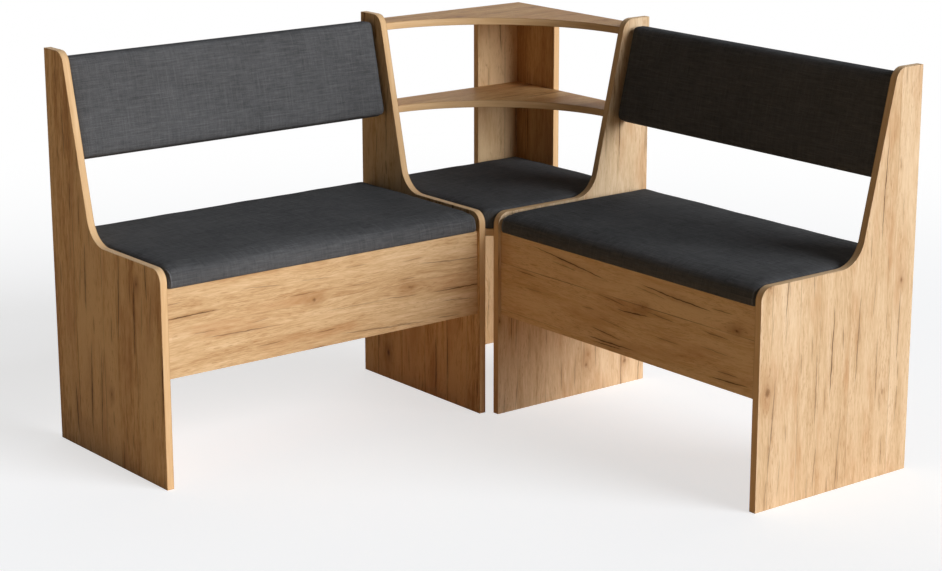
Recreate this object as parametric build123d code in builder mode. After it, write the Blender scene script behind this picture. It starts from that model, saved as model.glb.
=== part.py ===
from build123d import *
import os
from math import cos, radians, sin, tan

# Corner bench: two storage arms in mirror image, a corner seat between them and two corner shelves.
# Places are given from the room corner: along the left arm, out from the wall behind it, and up.
# All lengths are in millimetres and all angles in degrees.

# Side panels
BOARD = 16.0  # thickness of every board
PANEL_HEIGHT = 850.0
PANEL_DEPTH = 435.0
PANEL_TOP_DEPTH = 72.0  # where the leaning edge meets the top edge
SEAT_EDGE_HEIGHT = 460.0
BACK_LEAN = 13.0
PANEL_TOP_RADIUS = 29.0
PANEL_SEAT_RADIUS = 65.0
PANEL_FRONT_RADIUS = 28.0

# Plan of the two arms
CORNER_GAP = 13.0  # how far an inner panel stands clear of the other arm's front edges
SEAT_OPENING = 792.0  # clear width between the two panels of an arm

# Storage chest under each arm's seat
LID_DROP = 42.0  # underside of a seat lid below the panels' seat edges
APRON_HEIGHT = 188.0
APRON_RECESS = 8.0
RAIL_BACK = 70.0  # wall to the rear face of the rear rail

# Upholstered pads
COVER = 1.2  # fabric thickness
COVER_HEM = 80.0  # width of the fabric turned under a long pad's board
CORNER_HEM = 24.0  # the same under the corner pad
PAD_FIT = 0.2  # room between the fabric and what it wraps
PAD_ROUND = 15.0  # rounding of the upper edges
PAD_CORNER = 10.0  # rounding of the corners in plan
PAD_DRAW_IN = 2.5  # how far the sides pull in between the corners
PAD_CROWN = 4.0
CROWN_SPREAD = 0.35  # part of the way to the pad's middle over which the crown rises
SEAT_PAD_HEIGHT = 43.0
SEAT_PAD_BACK = 8.0  # wall to the rear of a seat pad
SEAT_PAD_FRONT_RECESS = 2.0  # behind the panels' front edges
LID_GAP = 4.0  # between a lid and each side panel
BACK_PAD_HEIGHT = 42.0
BACK_PAD_LENGTH = 218.0  # along the lean, top to bottom
BACK_PAD_DROP = 6.5  # below the top of the leaning edge
BACK_PAD_RECESS = 16.0  # behind the leaning edge
BACK_PAD_GAP = 3.0
CORNER_PAD_GAP = 2.0

# Corner post, seat and shelves
POST_WIDTH = 136.0
CORNER_BASE_DROP = 40.0  # top of the corner seat's base below the panels' seat edges
CORNER_CUT = 24.0  # cut off the front corner of the corner seat
TOP_SHELF_DROP = 20.0  # below the top of the panels
TOP_SHELF_REACH = 68.0  # depth where the shelf meets the panels
SHELF_SPACING = 188.0  # top of the one shelf to top of the other
MIDDLE_SHELF_REACH = 91.0

# Hinges of the seat lids
HINGE_LENGTH = 60.0
HINGE_INSET = 120.0  # panel to the middle of a hinge
HINGE_PLATE = 1.8
LEAF_WIDTH = 28.0
KNUCKLE_RADIUS = 3.5
PIN_RADIUS = 1.75
PIN_FIT = 0.06
HINGE_GAP = 0.4

# Angle brackets behind the backrests
BRACKET_LEG = 20.0
BRACKET_WIDTH = 22.0
BRACKET_PLATE = 2.0
BRACKET_INSET = 50.0  # pad's end to the middle of a bracket

# Fasteners
FIT = 0.1  # room around a fastener in its bore
SCREW_LENGTH = 13.0
SCREW_RADIUS = 1.8
SCREW_HEAD_RADIUS = 3.6
LONG_SCREW_LENGTH = 50.0
LONG_SCREW_RADIUS = 3.2
LONG_SCREW_HEAD_RADIUS = 5.0
LONG_SCREW_HEAD_HEIGHT = 4.0
LOCK_RADIUS = 7.5
LOCK_DEPTH = 12.5
LOCK_SETBACK = 24.0  # board's end to the middle of a cam lock
BOLT_RADIUS = 3.0
BOLT_THREAD_RADIUS = 2.5
BOLT_THREAD_LENGTH = 11.0
DOWEL_RADIUS = 4.0
DOWEL_LENGTH = 30.0
DOWEL_SEAT = 10.0  # part of a dowel that stands in the panel
FITTING_INSET = 40.0  # board's edge to its first cam lock
SHELF_DOWEL_INSET = 18.0
SHELF_LOCK_INSET = 44.0
POST_SCREW_INSET = 120.0  # post's ends to its outer screws

# Worked out from the sizes above
CORNER_POCKET = PANEL_DEPTH + CORNER_GAP  # wall to the near face of an inner panel
ARM_LENGTH = CORNER_POCKET + SEAT_OPENING + 2 * BOARD
HALF_LENGTH = ARM_LENGTH / 2
INNER_FACE = CORNER_POCKET + BOARD
END_FACE = INNER_FACE + SEAT_OPENING
LID_UNDERSIDE = SEAT_EDGE_HEIGHT - LID_DROP
APRON_UNDERSIDE = LID_UNDERSIDE - APRON_HEIGHT
APRON_FRONT = PANEL_DEPTH - APRON_RECESS
APRON_BACK = APRON_FRONT - BOARD
RAIL_FRONT = RAIL_BACK + BOARD
TOP_SHELF_UNDERSIDE = PANEL_HEIGHT - TOP_SHELF_DROP - BOARD
MIDDLE_SHELF_UNDERSIDE = TOP_SHELF_UNDERSIDE - SHELF_SPACING
CORNER_BASE_TOP = SEAT_EDGE_HEIGHT - CORNER_BASE_DROP
CORNER_BASE_UNDERSIDE = CORNER_BASE_TOP - BOARD
PAD_BOARD_TOP = COVER + BOARD
KNUCKLE_RISE = KNUCKLE_RADIUS + HINGE_GAP  # pin's middle above the face that a leaf lies on
HINGE_OUT = RAIL_BACK - KNUCKLE_RISE
HINGE_UP = LID_UNDERSIDE - KNUCKLE_RISE
KNUCKLE_LENGTH = HINGE_LENGTH / 3

# Directions, and planes set in them
ALONG = Vector(-1, 0, 0)
OUT = Vector(0, -1, 0)
UP = Vector(0, 0, 1)
LEAN_FACING = OUT * cos(radians(BACK_LEAN)) + UP * sin(radians(BACK_LEAN))
DIAGONAL = Plane((0, 0, 0), z_dir=(1, -1, 0))  # mirrors the left arm into the right arm


def at(along, out, up):
    """Point at the given distances from the room corner."""
    return Vector(HALF_LENGTH - along, HALF_LENGTH - out, up)


def spot(along, out, up, facing):
    """Plane at a point, looking the given way."""
    return Plane(at(along, out, up), z_dir=facing)


def across(along):
    """Upright plane across the left arm, with the axes out and up."""
    return Plane(at(along, 0, 0), x_dir=OUT, z_dir=ALONG)


def level(up):
    """Level plane, with the axes along and out."""
    return Plane(at(0, 0, up), x_dir=ALONG, z_dir=UP)


def leaning(recess):
    """Plane behind the panels' leaning edges, with the axes along and down the lean."""
    return Plane(at(0, PANEL_TOP_DEPTH, PANEL_HEIGHT) - LEAN_FACING * recess, x_dir=ALONG, z_dir=LEAN_FACING)


def mirrored(piece):
    """The right arm's twin of a left arm's piece."""
    with BuildPart() as twin:
        mirror(piece, about=DIAGONAL)
    return twin.part


def placed(piece, planes):
    """Copies of one piece, each standing on its plane."""
    with BuildPart() as copies:
        with Locations(*planes):
            add(piece)
    return copies.part


def turned(points):
    """Solid turned about Z from half of its section, given as radius and height."""
    with BuildPart() as solid:
        with BuildSketch(Plane.XZ):
            with BuildLine():
                Polyline(*points, close=True)
            make_face()
        revolve(axis=Axis.Z)
    return solid.part


def countersunk_screw(length, radius, head_radius, head_height, room):
    """Screw that stands head first on its plane and runs along the plane's facing."""
    return turned(
        [
            (0, 0),
            (head_radius + room, 0),
            (radius + room, head_height),
            (radius + room, length + room),
            (0, length + room),
        ]
    )


def cam_bolt(room):
    """Bolt that threads into a panel behind its plane and runs to a cam lock in front of it."""
    return turned(
        [
            (0, -BOLT_THREAD_LENGTH - room),
            (BOLT_THREAD_RADIUS + room, -BOLT_THREAD_LENGTH - room),
            (BOLT_THREAD_RADIUS + room, 0),
            (BOLT_RADIUS + room, 0),
            (BOLT_RADIUS + room, LOCK_SETBACK + room),
            (0, LOCK_SETBACK + room),
        ]
    )


def dowel(room):
    """Dowel that stands partly in the panel behind its plane."""
    radius = DOWEL_RADIUS + room
    low = -DOWEL_SEAT - room
    high = DOWEL_LENGTH - DOWEL_SEAT + room
    return turned([(0, low), (radius, low), (radius, high), (0, high)])


def cam_lock(room):
    """Round cam lock let into a board's face."""
    radius = LOCK_RADIUS + room
    depth = LOCK_DEPTH + room
    return turned([(0, 0), (radius, 0), (radius, depth), (0, depth)])


# Where the fittings of the left arm stand
CHEST_MIDDLE = (APRON_UNDERSIDE + LID_UNDERSIDE) / 2
CHEST_LEVELS = (APRON_UNDERSIDE + FITTING_INSET, LID_UNDERSIDE - FITTING_INSET)
FLOOR_MIDDLE = APRON_UNDERSIDE + BOARD / 2
FLOOR_OUTS = (RAIL_FRONT + FITTING_INSET, APRON_BACK - FITTING_INSET)
APRON_MIDDLE = APRON_BACK + BOARD / 2
RAIL_MIDDLE = RAIL_BACK + BOARD / 2
CORNER_BASE_MIDDLE = CORNER_BASE_UNDERSIDE + BOARD / 2
CORNER_BASE_OUTS = (BOARD + FITTING_INSET, CORNER_POCKET - CORNER_CUT - FITTING_INSET)
SHELVES = ((TOP_SHELF_UNDERSIDE, 0.0), (MIDDLE_SHELF_UNDERSIDE, BOARD))

bolt_spots = []
lock_spots = []
dowel_spots = []
for face, inward in ((INNER_FACE, 1), (END_FACE, -1)):
    lock_along = face + inward * LOCK_SETBACK
    for chest_level in CHEST_LEVELS:
        bolt_spots.append(spot(face, APRON_MIDDLE, chest_level, ALONG * inward))
        bolt_spots.append(spot(face, RAIL_MIDDLE, chest_level, ALONG * inward))
        lock_spots.append(spot(lock_along, APRON_BACK, chest_level, OUT))
        lock_spots.append(spot(lock_along, RAIL_FRONT, chest_level, -OUT))
    for floor_out in FLOOR_OUTS:
        bolt_spots.append(spot(face, floor_out, FLOOR_MIDDLE, ALONG * inward))
        lock_spots.append(spot(lock_along, floor_out, APRON_UNDERSIDE, UP))
    dowel_spots.append(spot(face, APRON_MIDDLE, CHEST_MIDDLE, ALONG * inward))
    dowel_spots.append(spot(face, RAIL_MIDDLE, CHEST_MIDDLE, ALONG * inward))
    dowel_spots.append(spot(face, sum(FLOOR_OUTS) / 2, FLOOR_MIDDLE, ALONG * inward))
for underside, shelf_back in SHELVES:
    shelf_middle = underside + BOARD / 2
    bolt_spots.append(spot(CORNER_POCKET, shelf_back + SHELF_LOCK_INSET, shelf_middle, -ALONG))
    lock_spots.append(spot(CORNER_POCKET - LOCK_SETBACK, shelf_back + SHELF_LOCK_INSET, underside, UP))
    dowel_spots.append(spot(CORNER_POCKET, shelf_back + SHELF_DOWEL_INSET, shelf_middle, -ALONG))
for base_out in CORNER_BASE_OUTS:
    bolt_spots.append(spot(CORNER_POCKET, base_out, CORNER_BASE_MIDDLE, -ALONG))
    lock_spots.append(spot(CORNER_POCKET - LOCK_SETBACK, base_out, CORNER_BASE_UNDERSIDE, UP))
dowel_spots.append(spot(CORNER_POCKET, sum(CORNER_BASE_OUTS) / 2, CORNER_BASE_MIDDLE, -ALONG))

# Where the fittings of the post stand, which has one board butted against the other
POST_LEFT_MIDDLE = POST_WIDTH / 2
POST_RIGHT_MIDDLE = BOARD + POST_WIDTH / 2
post_dowel_spots = [
    spot(POST_LEFT_MIDDLE, BOARD / 2, TOP_SHELF_UNDERSIDE, -UP),
    spot(BOARD / 2, POST_RIGHT_MIDDLE, TOP_SHELF_UNDERSIDE, -UP),
]
post_screw_spots = []
for screw_level in (
    POST_SCREW_INSET,
    TOP_SHELF_UNDERSIDE / 2,
    TOP_SHELF_UNDERSIDE - POST_SCREW_INSET,
):
    post_screw_spots.append(spot(BOARD / 2, 0, screw_level, OUT))
for screw_level in (CORNER_BASE_MIDDLE, MIDDLE_SHELF_UNDERSIDE + BOARD / 2):
    post_screw_spots.append(spot(POST_LEFT_MIDDLE, 0, screw_level, OUT))
    post_screw_spots.append(spot(0, POST_RIGHT_MIDDLE, screw_level, ALONG))


def hinge_screw(room):
    """Screw that fills the countersink of a hinge leaf."""
    return countersunk_screw(SCREW_LENGTH, SCREW_RADIUS, SCREW_HEAD_RADIUS, HINGE_PLATE, room)


def bracket_screw(room):
    """Screw that fills the countersink of an angle bracket."""
    return countersunk_screw(SCREW_LENGTH, SCREW_RADIUS, SCREW_HEAD_RADIUS, BRACKET_PLATE, room)


def post_screw(room):
    """Long screw that joins two boards at the post."""
    return countersunk_screw(
        LONG_SCREW_LENGTH,
        LONG_SCREW_RADIUS,
        LONG_SCREW_HEAD_RADIUS,
        LONG_SCREW_HEAD_HEIGHT,
        room,
    )


# Hinge leaves lie on these planes: the first axis runs along the pin, the second away from it
HINGE_MIDDLES = (INNER_FACE + HINGE_INSET, END_FACE - HINGE_INSET)
LEAF_SCREW_REACH = (LEAF_WIDTH + KNUCKLE_RADIUS) / 2
LEAF_SCREWS = [(side * HINGE_LENGTH / 4, LEAF_SCREW_REACH) for side in (-1, 1)]
rail_leaf_planes = []
lid_leaf_planes = []
for hinge_middle in HINGE_MIDDLES:
    rail_leaf_planes.append(Plane(at(hinge_middle, RAIL_BACK, HINGE_UP), x_dir=-ALONG, z_dir=-OUT))
    lid_leaf_planes.append(Plane(at(hinge_middle, HINGE_OUT, LID_UNDERSIDE), x_dir=ALONG, z_dir=-UP))


def leaf_screw_spots(planes):
    """Planes on which the screws of hinge leaves stand, facing into the wood."""
    return [
        Plane(plane.from_local_coords((along, reach, HINGE_PLATE)), z_dir=-plane.z_dir)
        for plane in planes
        for along, reach in LEAF_SCREWS
    ]


def hinge_leaf(knuckles):
    """Leaf with its plate on the plane, and knuckles over the given thirds of its length."""
    with BuildPart() as leaf:
        with BuildSketch():
            with Locations((0, (KNUCKLE_RISE + LEAF_WIDTH) / 2)):
                Rectangle(HINGE_LENGTH, LEAF_WIDTH - KNUCKLE_RISE)
            for knuckle in knuckles:
                with Locations((knuckle * KNUCKLE_LENGTH, KNUCKLE_RISE / 2)):
                    Rectangle(KNUCKLE_LENGTH - HINGE_GAP, KNUCKLE_RISE)
        extrude(amount=HINGE_PLATE)
        for knuckle in knuckles:
            start = knuckle * KNUCKLE_LENGTH - (KNUCKLE_LENGTH - HINGE_GAP) / 2
            with BuildSketch(Plane.YZ.offset(start)):
                with Locations((0, KNUCKLE_RISE)):
                    Circle(KNUCKLE_RADIUS)
            extrude(amount=KNUCKLE_LENGTH - HINGE_GAP)
        with BuildSketch(Plane.YZ.offset(-HINGE_LENGTH / 2)):
            with Locations((0, KNUCKLE_RISE)):
                Circle(PIN_RADIUS + PIN_FIT)
        extrude(amount=HINGE_LENGTH, mode=Mode.SUBTRACT)
        with Locations(*leaf_screw_spots([Plane.XY])):
            add(hinge_screw(FIT), mode=Mode.SUBTRACT)
    return leaf.part


# Brackets stand on these planes: the first axis runs away from the panel, the third away from the pad
BACK_PAD_END = BACK_PAD_DROP + BACK_PAD_LENGTH
BACK_REAR = leaning(BACK_PAD_RECESS + BACK_PAD_HEIGHT)
bracket_planes = [
    Plane(BACK_REAR.from_local_coords((face, down, 0)), x_dir=ALONG * inward, z_dir=-LEAN_FACING)
    for face, inward in ((INNER_FACE, 1), (END_FACE, -1))
    for down in (BACK_PAD_DROP + BRACKET_INSET, BACK_PAD_END - BRACKET_INSET)
]
BRACKET_SCREW_REACH = (BRACKET_LEG + BRACKET_PLATE) / 2


def bracket_screw_spots(planes):
    """Planes on which the screws of brackets stand: one into the pad, one into the panel."""
    spots = []
    for plane in planes:
        on_pad = plane.from_local_coords((BRACKET_SCREW_REACH, 0, BRACKET_PLATE))
        on_panel = plane.from_local_coords((BRACKET_PLATE, 0, BRACKET_SCREW_REACH))
        spots.append(Plane(on_pad, z_dir=-plane.z_dir))
        spots.append(Plane(on_panel, z_dir=-plane.x_dir))
    return spots


def angle_bracket():
    """Angle bracket with one leg on its plane and the other standing at the plane's origin."""
    with BuildPart() as bracket:
        with BuildSketch(Plane.XZ.offset(-BRACKET_WIDTH / 2)):
            with BuildLine():
                Polyline(
                    (0, 0),
                    (BRACKET_LEG, 0),
                    (BRACKET_LEG, BRACKET_PLATE),
                    (BRACKET_PLATE, BRACKET_PLATE),
                    (BRACKET_PLATE, BRACKET_LEG),
                    (0, BRACKET_LEG),
                    close=True,
                )
            make_face()
        extrude(amount=BRACKET_WIDTH)
        with Locations(*bracket_screw_spots([Plane.XY])):
            add(bracket_screw(FIT), mode=Mode.SUBTRACT)
    return bracket.part


# Bores for all the fittings, a little wider than the fittings themselves
bolt_bores = placed(cam_bolt(FIT), bolt_spots)
lock_bores = placed(cam_lock(FIT), lock_spots)
dowel_bores = placed(dowel(FIT), dowel_spots)
post_dowel_bores = placed(dowel(FIT), post_dowel_spots)
post_screw_bores = placed(post_screw(FIT), post_screw_spots)
rail_screw_bores = placed(hinge_screw(FIT), leaf_screw_spots(rail_leaf_planes))
lid_screw_bores = placed(hinge_screw(FIT), leaf_screw_spots(lid_leaf_planes))
bracket_screw_bores = placed(bracket_screw(FIT), bracket_screw_spots(bracket_planes))
board_bores = [bolt_bores, lock_bores, dowel_bores]
panel_bores = [bolt_bores, dowel_bores, bracket_screw_bores]
corner_bores = board_bores + [mirrored(bore) for bore in board_bores]
post_bores = [post_dowel_bores, post_screw_bores]


def side_panel(along):
    """Panel that starts at the given distance along the arm."""
    seat_back = PANEL_TOP_DEPTH + (PANEL_HEIGHT - SEAT_EDGE_HEIGHT) * tan(radians(BACK_LEAN))
    rounded_corners = (
        ((PANEL_DEPTH, SEAT_EDGE_HEIGHT), PANEL_FRONT_RADIUS),
        ((seat_back, SEAT_EDGE_HEIGHT), PANEL_SEAT_RADIUS),
        ((PANEL_TOP_DEPTH, PANEL_HEIGHT), PANEL_TOP_RADIUS),
    )
    with BuildPart() as panel:
        with BuildSketch(across(along)):
            with BuildLine():
                Polyline(
                    (0, 0),
                    (PANEL_DEPTH, 0),
                    (PANEL_DEPTH, SEAT_EDGE_HEIGHT),
                    (seat_back, SEAT_EDGE_HEIGHT),
                    (PANEL_TOP_DEPTH, PANEL_HEIGHT),
                    (0, PANEL_HEIGHT),
                    close=True,
                )
            make_face()
            for corner, radius in rounded_corners:
                fillet(vertices().sort_by_distance(corner)[0], radius)
        extrude(amount=BOARD)
        add(panel_bores, mode=Mode.SUBTRACT)
    return panel.part


def chest_board(underside, top, back, front):
    """Board that runs between the two panels of the left arm."""
    with BuildPart() as board:
        with BuildSketch(across(INNER_FACE)):
            with BuildLine():
                Polyline((back, underside), (front, underside), (front, top), (back, top), close=True)
            make_face()
        extrude(amount=SEAT_OPENING)
        add(board_bores + [rail_screw_bores], mode=Mode.SUBTRACT)
    return board.part


def pad_outline(corners, inset, draw_in, size=1.0):
    """Face in the shape of a pad seen square on, moved in by inset, with its sides pulled in."""
    points = [Vector(*corner) for corner in corners]
    middle = sum(points, Vector()) / len(points)
    heads = []
    for i, point in enumerate(points):
        before = (point - points[i - 1]).normalized()
        after = (points[(i + 1) % len(points)] - point).normalized()
        inner = (before + after).rotate(Axis.Z, 90)
        half_turn = radians(before.get_angle(after)) / 2
        inward = inner.normalized()
        tip = point + inward * (inset / cos(half_turn))
        run = PAD_CORNER * tan(half_turn)
        crest = tip + inward * (PAD_CORNER / cos(half_turn) - PAD_CORNER)
        arc = (tip - before * run, crest, tip + after * run)
        heads.append([middle + (place - middle) * size for place in arc])
    with BuildSketch() as outline:
        with BuildLine():
            for i, (start, crest, end) in enumerate(heads):
                ThreePointArc(start, crest, end)
                reach = heads[(i + 1) % len(heads)][0]
                if draw_in:
                    pull = (reach - end).normalized().rotate(Axis.Z, 90) * draw_in
                    ThreePointArc(end, (end + reach) / 2 + pull, reach)
                else:
                    Line(end, reach)
        make_face()
    return outline.sketch


def pad_form(plane, corners, height, skin, base):
    """Pad with rounded upper edges and a crown, the given skin inside its outer surface."""
    shoulder = height - PAD_ROUND
    radius = PAD_ROUND - skin
    sections = [(base, skin, 0, 1)]
    if base < PAD_BOARD_TOP:
        sections.append((PAD_BOARD_TOP, skin, 0, 1))
    for angle in (0, 30, 60, 90):
        rise = radius * sin(radians(angle))
        inset = PAD_ROUND - radius * cos(radians(angle))
        sections.append((shoulder + rise, inset, PAD_DRAW_IN, 1))
    for share in (0.4, 1.0):
        crown = PAD_CROWN * sin(radians(90 * share))
        sections.append((height - skin + crown, PAD_ROUND, PAD_DRAW_IN, 1 - CROWN_SPREAD * share))
    with BuildPart() as form:
        for up, inset, draw_in, size in sections:
            with BuildSketch(plane.offset(up)):
                add(pad_outline(corners, inset, draw_in, size))
        loft(ruled=True)
    return form.part


def pad_board(plane, corners, bores):
    """Board inside a pad."""
    with BuildPart() as board:
        with BuildSketch(plane.offset(COVER)):
            add(pad_outline(corners, COVER + PAD_FIT, 0))
        extrude(amount=BOARD)
        add(bores, mode=Mode.SUBTRACT)
    return board.part


def pad_foam(plane, corners, height):
    """Foam on a pad's board."""
    return pad_form(plane, corners, height, COVER + PAD_FIT, PAD_BOARD_TOP)


def pad_cover(plane, corners, height, hem, bores):
    """Fabric round a pad's foam and board, turned under and open in the middle below."""
    with BuildPart() as cover:
        add(pad_form(plane, corners, height, 0, 0))
        add(pad_form(plane, corners, height, COVER, COVER), mode=Mode.SUBTRACT)
        with BuildSketch(plane):
            add(pad_outline(corners, hem, 0))
        extrude(amount=COVER, mode=Mode.SUBTRACT)
        add(bores, mode=Mode.SUBTRACT)
    return cover.part


def rectangle_corners(start, end, near, far):
    """Corners of a pad in plan, in order round it."""
    return [(start, near), (end, near), (end, far), (start, far)]


def corner_square(near, far, cut):
    """Corners of a square in the pocket with its front corner cut off."""
    return [(near, near), (far, near), (far, far - cut), (far - cut, far), (near, far)]


def corner_shelf(underside, back, reach):
    """Shelf in the corner pocket with a hollow round front edge."""
    with BuildPart() as shelf:
        with BuildSketch(level(underside)):
            with BuildLine():
                Polyline(*rectangle_corners(back, CORNER_POCKET, back, CORNER_POCKET), close=True)
            make_face()
            with Locations((CORNER_POCKET, CORNER_POCKET)):
                Circle(CORNER_POCKET - reach, mode=Mode.SUBTRACT)
        extrude(amount=BOARD)
        add(corner_bores + post_bores, mode=Mode.SUBTRACT)
    return shelf.part


def post_board(corners):
    """Upright board of the post, from the floor to the top shelf."""
    with BuildPart() as board:
        with BuildSketch(level(0)):
            with BuildLine():
                Polyline(*corners, close=True)
            make_face()
        extrude(amount=TOP_SHELF_UNDERSIDE)
        add(post_bores, mode=Mode.SUBTRACT)
    return board.part


# Left arm
SEAT_PLANE = level(LID_UNDERSIDE)
SEAT_CORNERS = rectangle_corners(
    INNER_FACE + LID_GAP,
    END_FACE - LID_GAP,
    SEAT_PAD_BACK,
    PANEL_DEPTH - SEAT_PAD_FRONT_RECESS,
)
BACK_CORNERS = rectangle_corners(
    INNER_FACE + BACK_PAD_GAP,
    END_FACE - BACK_PAD_GAP,
    BACK_PAD_DROP,
    BACK_PAD_END,
)

with BuildPart() as hinge_pins:
    for hinge_middle in HINGE_MIDDLES:
        with BuildSketch(spot(hinge_middle - HINGE_LENGTH / 2, HINGE_OUT, HINGE_UP, ALONG)):
            Circle(PIN_RADIUS)
        extrude(amount=HINGE_LENGTH)

arm_pieces = {
    "end_panel": side_panel(END_FACE),
    "inner_panel": side_panel(CORNER_POCKET),
    "apron": chest_board(APRON_UNDERSIDE, LID_UNDERSIDE, APRON_BACK, APRON_FRONT),
    "rear_rail": chest_board(APRON_UNDERSIDE, LID_UNDERSIDE, RAIL_BACK, RAIL_FRONT),
    "chest_floor": chest_board(APRON_UNDERSIDE, APRON_UNDERSIDE + BOARD, RAIL_FRONT, APRON_BACK),
    "seat_board": pad_board(SEAT_PLANE, SEAT_CORNERS, [lid_screw_bores]),
    "seat_foam": pad_foam(SEAT_PLANE, SEAT_CORNERS, SEAT_PAD_HEIGHT),
    "seat_cover": pad_cover(SEAT_PLANE, SEAT_CORNERS, SEAT_PAD_HEIGHT, COVER_HEM, [lid_screw_bores]),
    "back_board": pad_board(BACK_REAR, BACK_CORNERS, [bracket_screw_bores]),
    "back_foam": pad_foam(BACK_REAR, BACK_CORNERS, BACK_PAD_HEIGHT),
    "back_cover": pad_cover(BACK_REAR, BACK_CORNERS, BACK_PAD_HEIGHT, COVER_HEM, [bracket_screw_bores]),
    "back_brackets": placed(angle_bracket(), bracket_planes),
    "back_bracket_screws": placed(bracket_screw(0), bracket_screw_spots(bracket_planes)),
    "hinge_rail_leaves": placed(hinge_leaf((-1, 1)), rail_leaf_planes),
    "hinge_lid_leaves": placed(hinge_leaf((0,)), lid_leaf_planes),
    "hinge_pins": hinge_pins.part,
    "hinge_rail_screws": placed(hinge_screw(0), leaf_screw_spots(rail_leaf_planes)),
    "hinge_lid_screws": placed(hinge_screw(0), leaf_screw_spots(lid_leaf_planes)),
}

# Corner between the arms
CORNER_PAD_PLANE = level(CORNER_BASE_TOP)
CORNER_PAD_CORNERS = corner_square(BOARD + CORNER_PAD_GAP, CORNER_POCKET - CORNER_PAD_GAP, CORNER_CUT)

with BuildPart() as corner_base:
    with BuildSketch(level(CORNER_BASE_UNDERSIDE)):
        with BuildLine():
            Polyline(*corner_square(BOARD, CORNER_POCKET, CORNER_CUT), close=True)
        make_face()
    extrude(amount=BOARD)
    add(corner_bores + post_bores, mode=Mode.SUBTRACT)

with BuildPart() as cam_bolts:
    add(placed(cam_bolt(0), bolt_spots))
    mirror(about=DIAGONAL)

with BuildPart() as cam_locks:
    add(placed(cam_lock(0), lock_spots))
    add(bolt_bores, mode=Mode.SUBTRACT)
    mirror(about=DIAGONAL)

with BuildPart() as wood_dowels:
    add(placed(dowel(0), dowel_spots))
    mirror(about=DIAGONAL)
    add(placed(dowel(0), post_dowel_spots))

corner_pieces = {
    "post_left_board": post_board(rectangle_corners(0, POST_WIDTH, 0, BOARD)),
    "post_right_board": post_board(rectangle_corners(0, BOARD, BOARD, BOARD + POST_WIDTH)),
    "top_shelf": corner_shelf(TOP_SHELF_UNDERSIDE, 0, TOP_SHELF_REACH),
    "middle_shelf": corner_shelf(MIDDLE_SHELF_UNDERSIDE, BOARD, MIDDLE_SHELF_REACH),
    "corner_seat_base": corner_base.part,
    "corner_seat_board": pad_board(CORNER_PAD_PLANE, CORNER_PAD_CORNERS, []),
    "corner_seat_foam": pad_foam(CORNER_PAD_PLANE, CORNER_PAD_CORNERS, SEAT_PAD_HEIGHT),
    "corner_seat_cover": pad_cover(CORNER_PAD_PLANE, CORNER_PAD_CORNERS, SEAT_PAD_HEIGHT, CORNER_HEM, []),
    "cam_bolts": cam_bolts.part,
    "cam_locks": cam_locks.part,
    "wood_dowels": wood_dowels.part,
    "post_screws": placed(post_screw(0), post_screw_spots),
}

# One file for each piece, with the right arm made as the left arm's mirror image
nodes = dict(corner_pieces)
for piece_name, piece in arm_pieces.items():
    nodes["left_" + piece_name] = piece
    nodes["right_" + piece_name] = mirrored(piece)

os.makedirs("parts", exist_ok=True)
for node_name, node in nodes.items():
    node.label = node_name
    export_step(node, f"parts/{node_name}.step")
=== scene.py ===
import logging
import math
from dataclasses import dataclass, field
from enum import Enum
from typing import Optional, Sequence, Union

import bpy
import numpy as np
from mathutils import Matrix, Vector
from mathutils.bvhtree import BVHTree


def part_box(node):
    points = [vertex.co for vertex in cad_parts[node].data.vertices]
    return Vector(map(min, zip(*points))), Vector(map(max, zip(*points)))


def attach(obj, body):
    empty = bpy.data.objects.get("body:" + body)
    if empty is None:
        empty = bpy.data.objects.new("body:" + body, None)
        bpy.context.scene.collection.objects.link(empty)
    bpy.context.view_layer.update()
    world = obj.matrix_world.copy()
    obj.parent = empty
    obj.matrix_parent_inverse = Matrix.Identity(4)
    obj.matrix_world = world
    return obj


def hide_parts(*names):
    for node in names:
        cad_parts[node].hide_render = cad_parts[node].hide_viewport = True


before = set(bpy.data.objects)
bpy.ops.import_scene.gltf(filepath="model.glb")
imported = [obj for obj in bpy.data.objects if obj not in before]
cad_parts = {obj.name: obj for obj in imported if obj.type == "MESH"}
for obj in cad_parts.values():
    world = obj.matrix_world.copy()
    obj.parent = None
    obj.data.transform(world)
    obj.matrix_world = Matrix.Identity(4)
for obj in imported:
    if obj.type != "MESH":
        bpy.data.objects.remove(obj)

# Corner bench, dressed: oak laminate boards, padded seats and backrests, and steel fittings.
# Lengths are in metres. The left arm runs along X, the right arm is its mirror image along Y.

LOG = logging.getLogger("corner_bench")
IMAGE_WIDTH = 942
SENSOR_WIDTH = 36.0
Colour = tuple[float, float, float, float]
Triple = tuple[float, float, float]
WHITE: Colour = (1.0, 1.0, 1.0, 1.0)


class Axis(Enum):
    """The frame's own directions."""

    X = (1.0, 0.0, 0.0)
    Y = (0.0, 1.0, 0.0)
    Z = (0.0, 0.0, 1.0)


class Side(Enum):
    """The bench's two arms."""

    LEFT = "left"
    RIGHT = "right"


def place_object(name: str, data: bpy.types.ID) -> bpy.types.Object:
    """A new object in the scene."""
    made = bpy.data.objects.new(name, data)
    bpy.context.scene.collection.objects.link(made)
    return made


def srgb(red: float, green: float, blue: float) -> Colour:
    """Linear colour of a screen colour given from 0 to 255."""
    parts = [c / 255 for c in (red, green, blue)]
    linear = [c / 12.92 if c <= 0.04045 else ((c + 0.055) / 1.055) ** 2.4 for c in parts]
    return (linear[0], linear[1], linear[2], 1.0)


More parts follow.
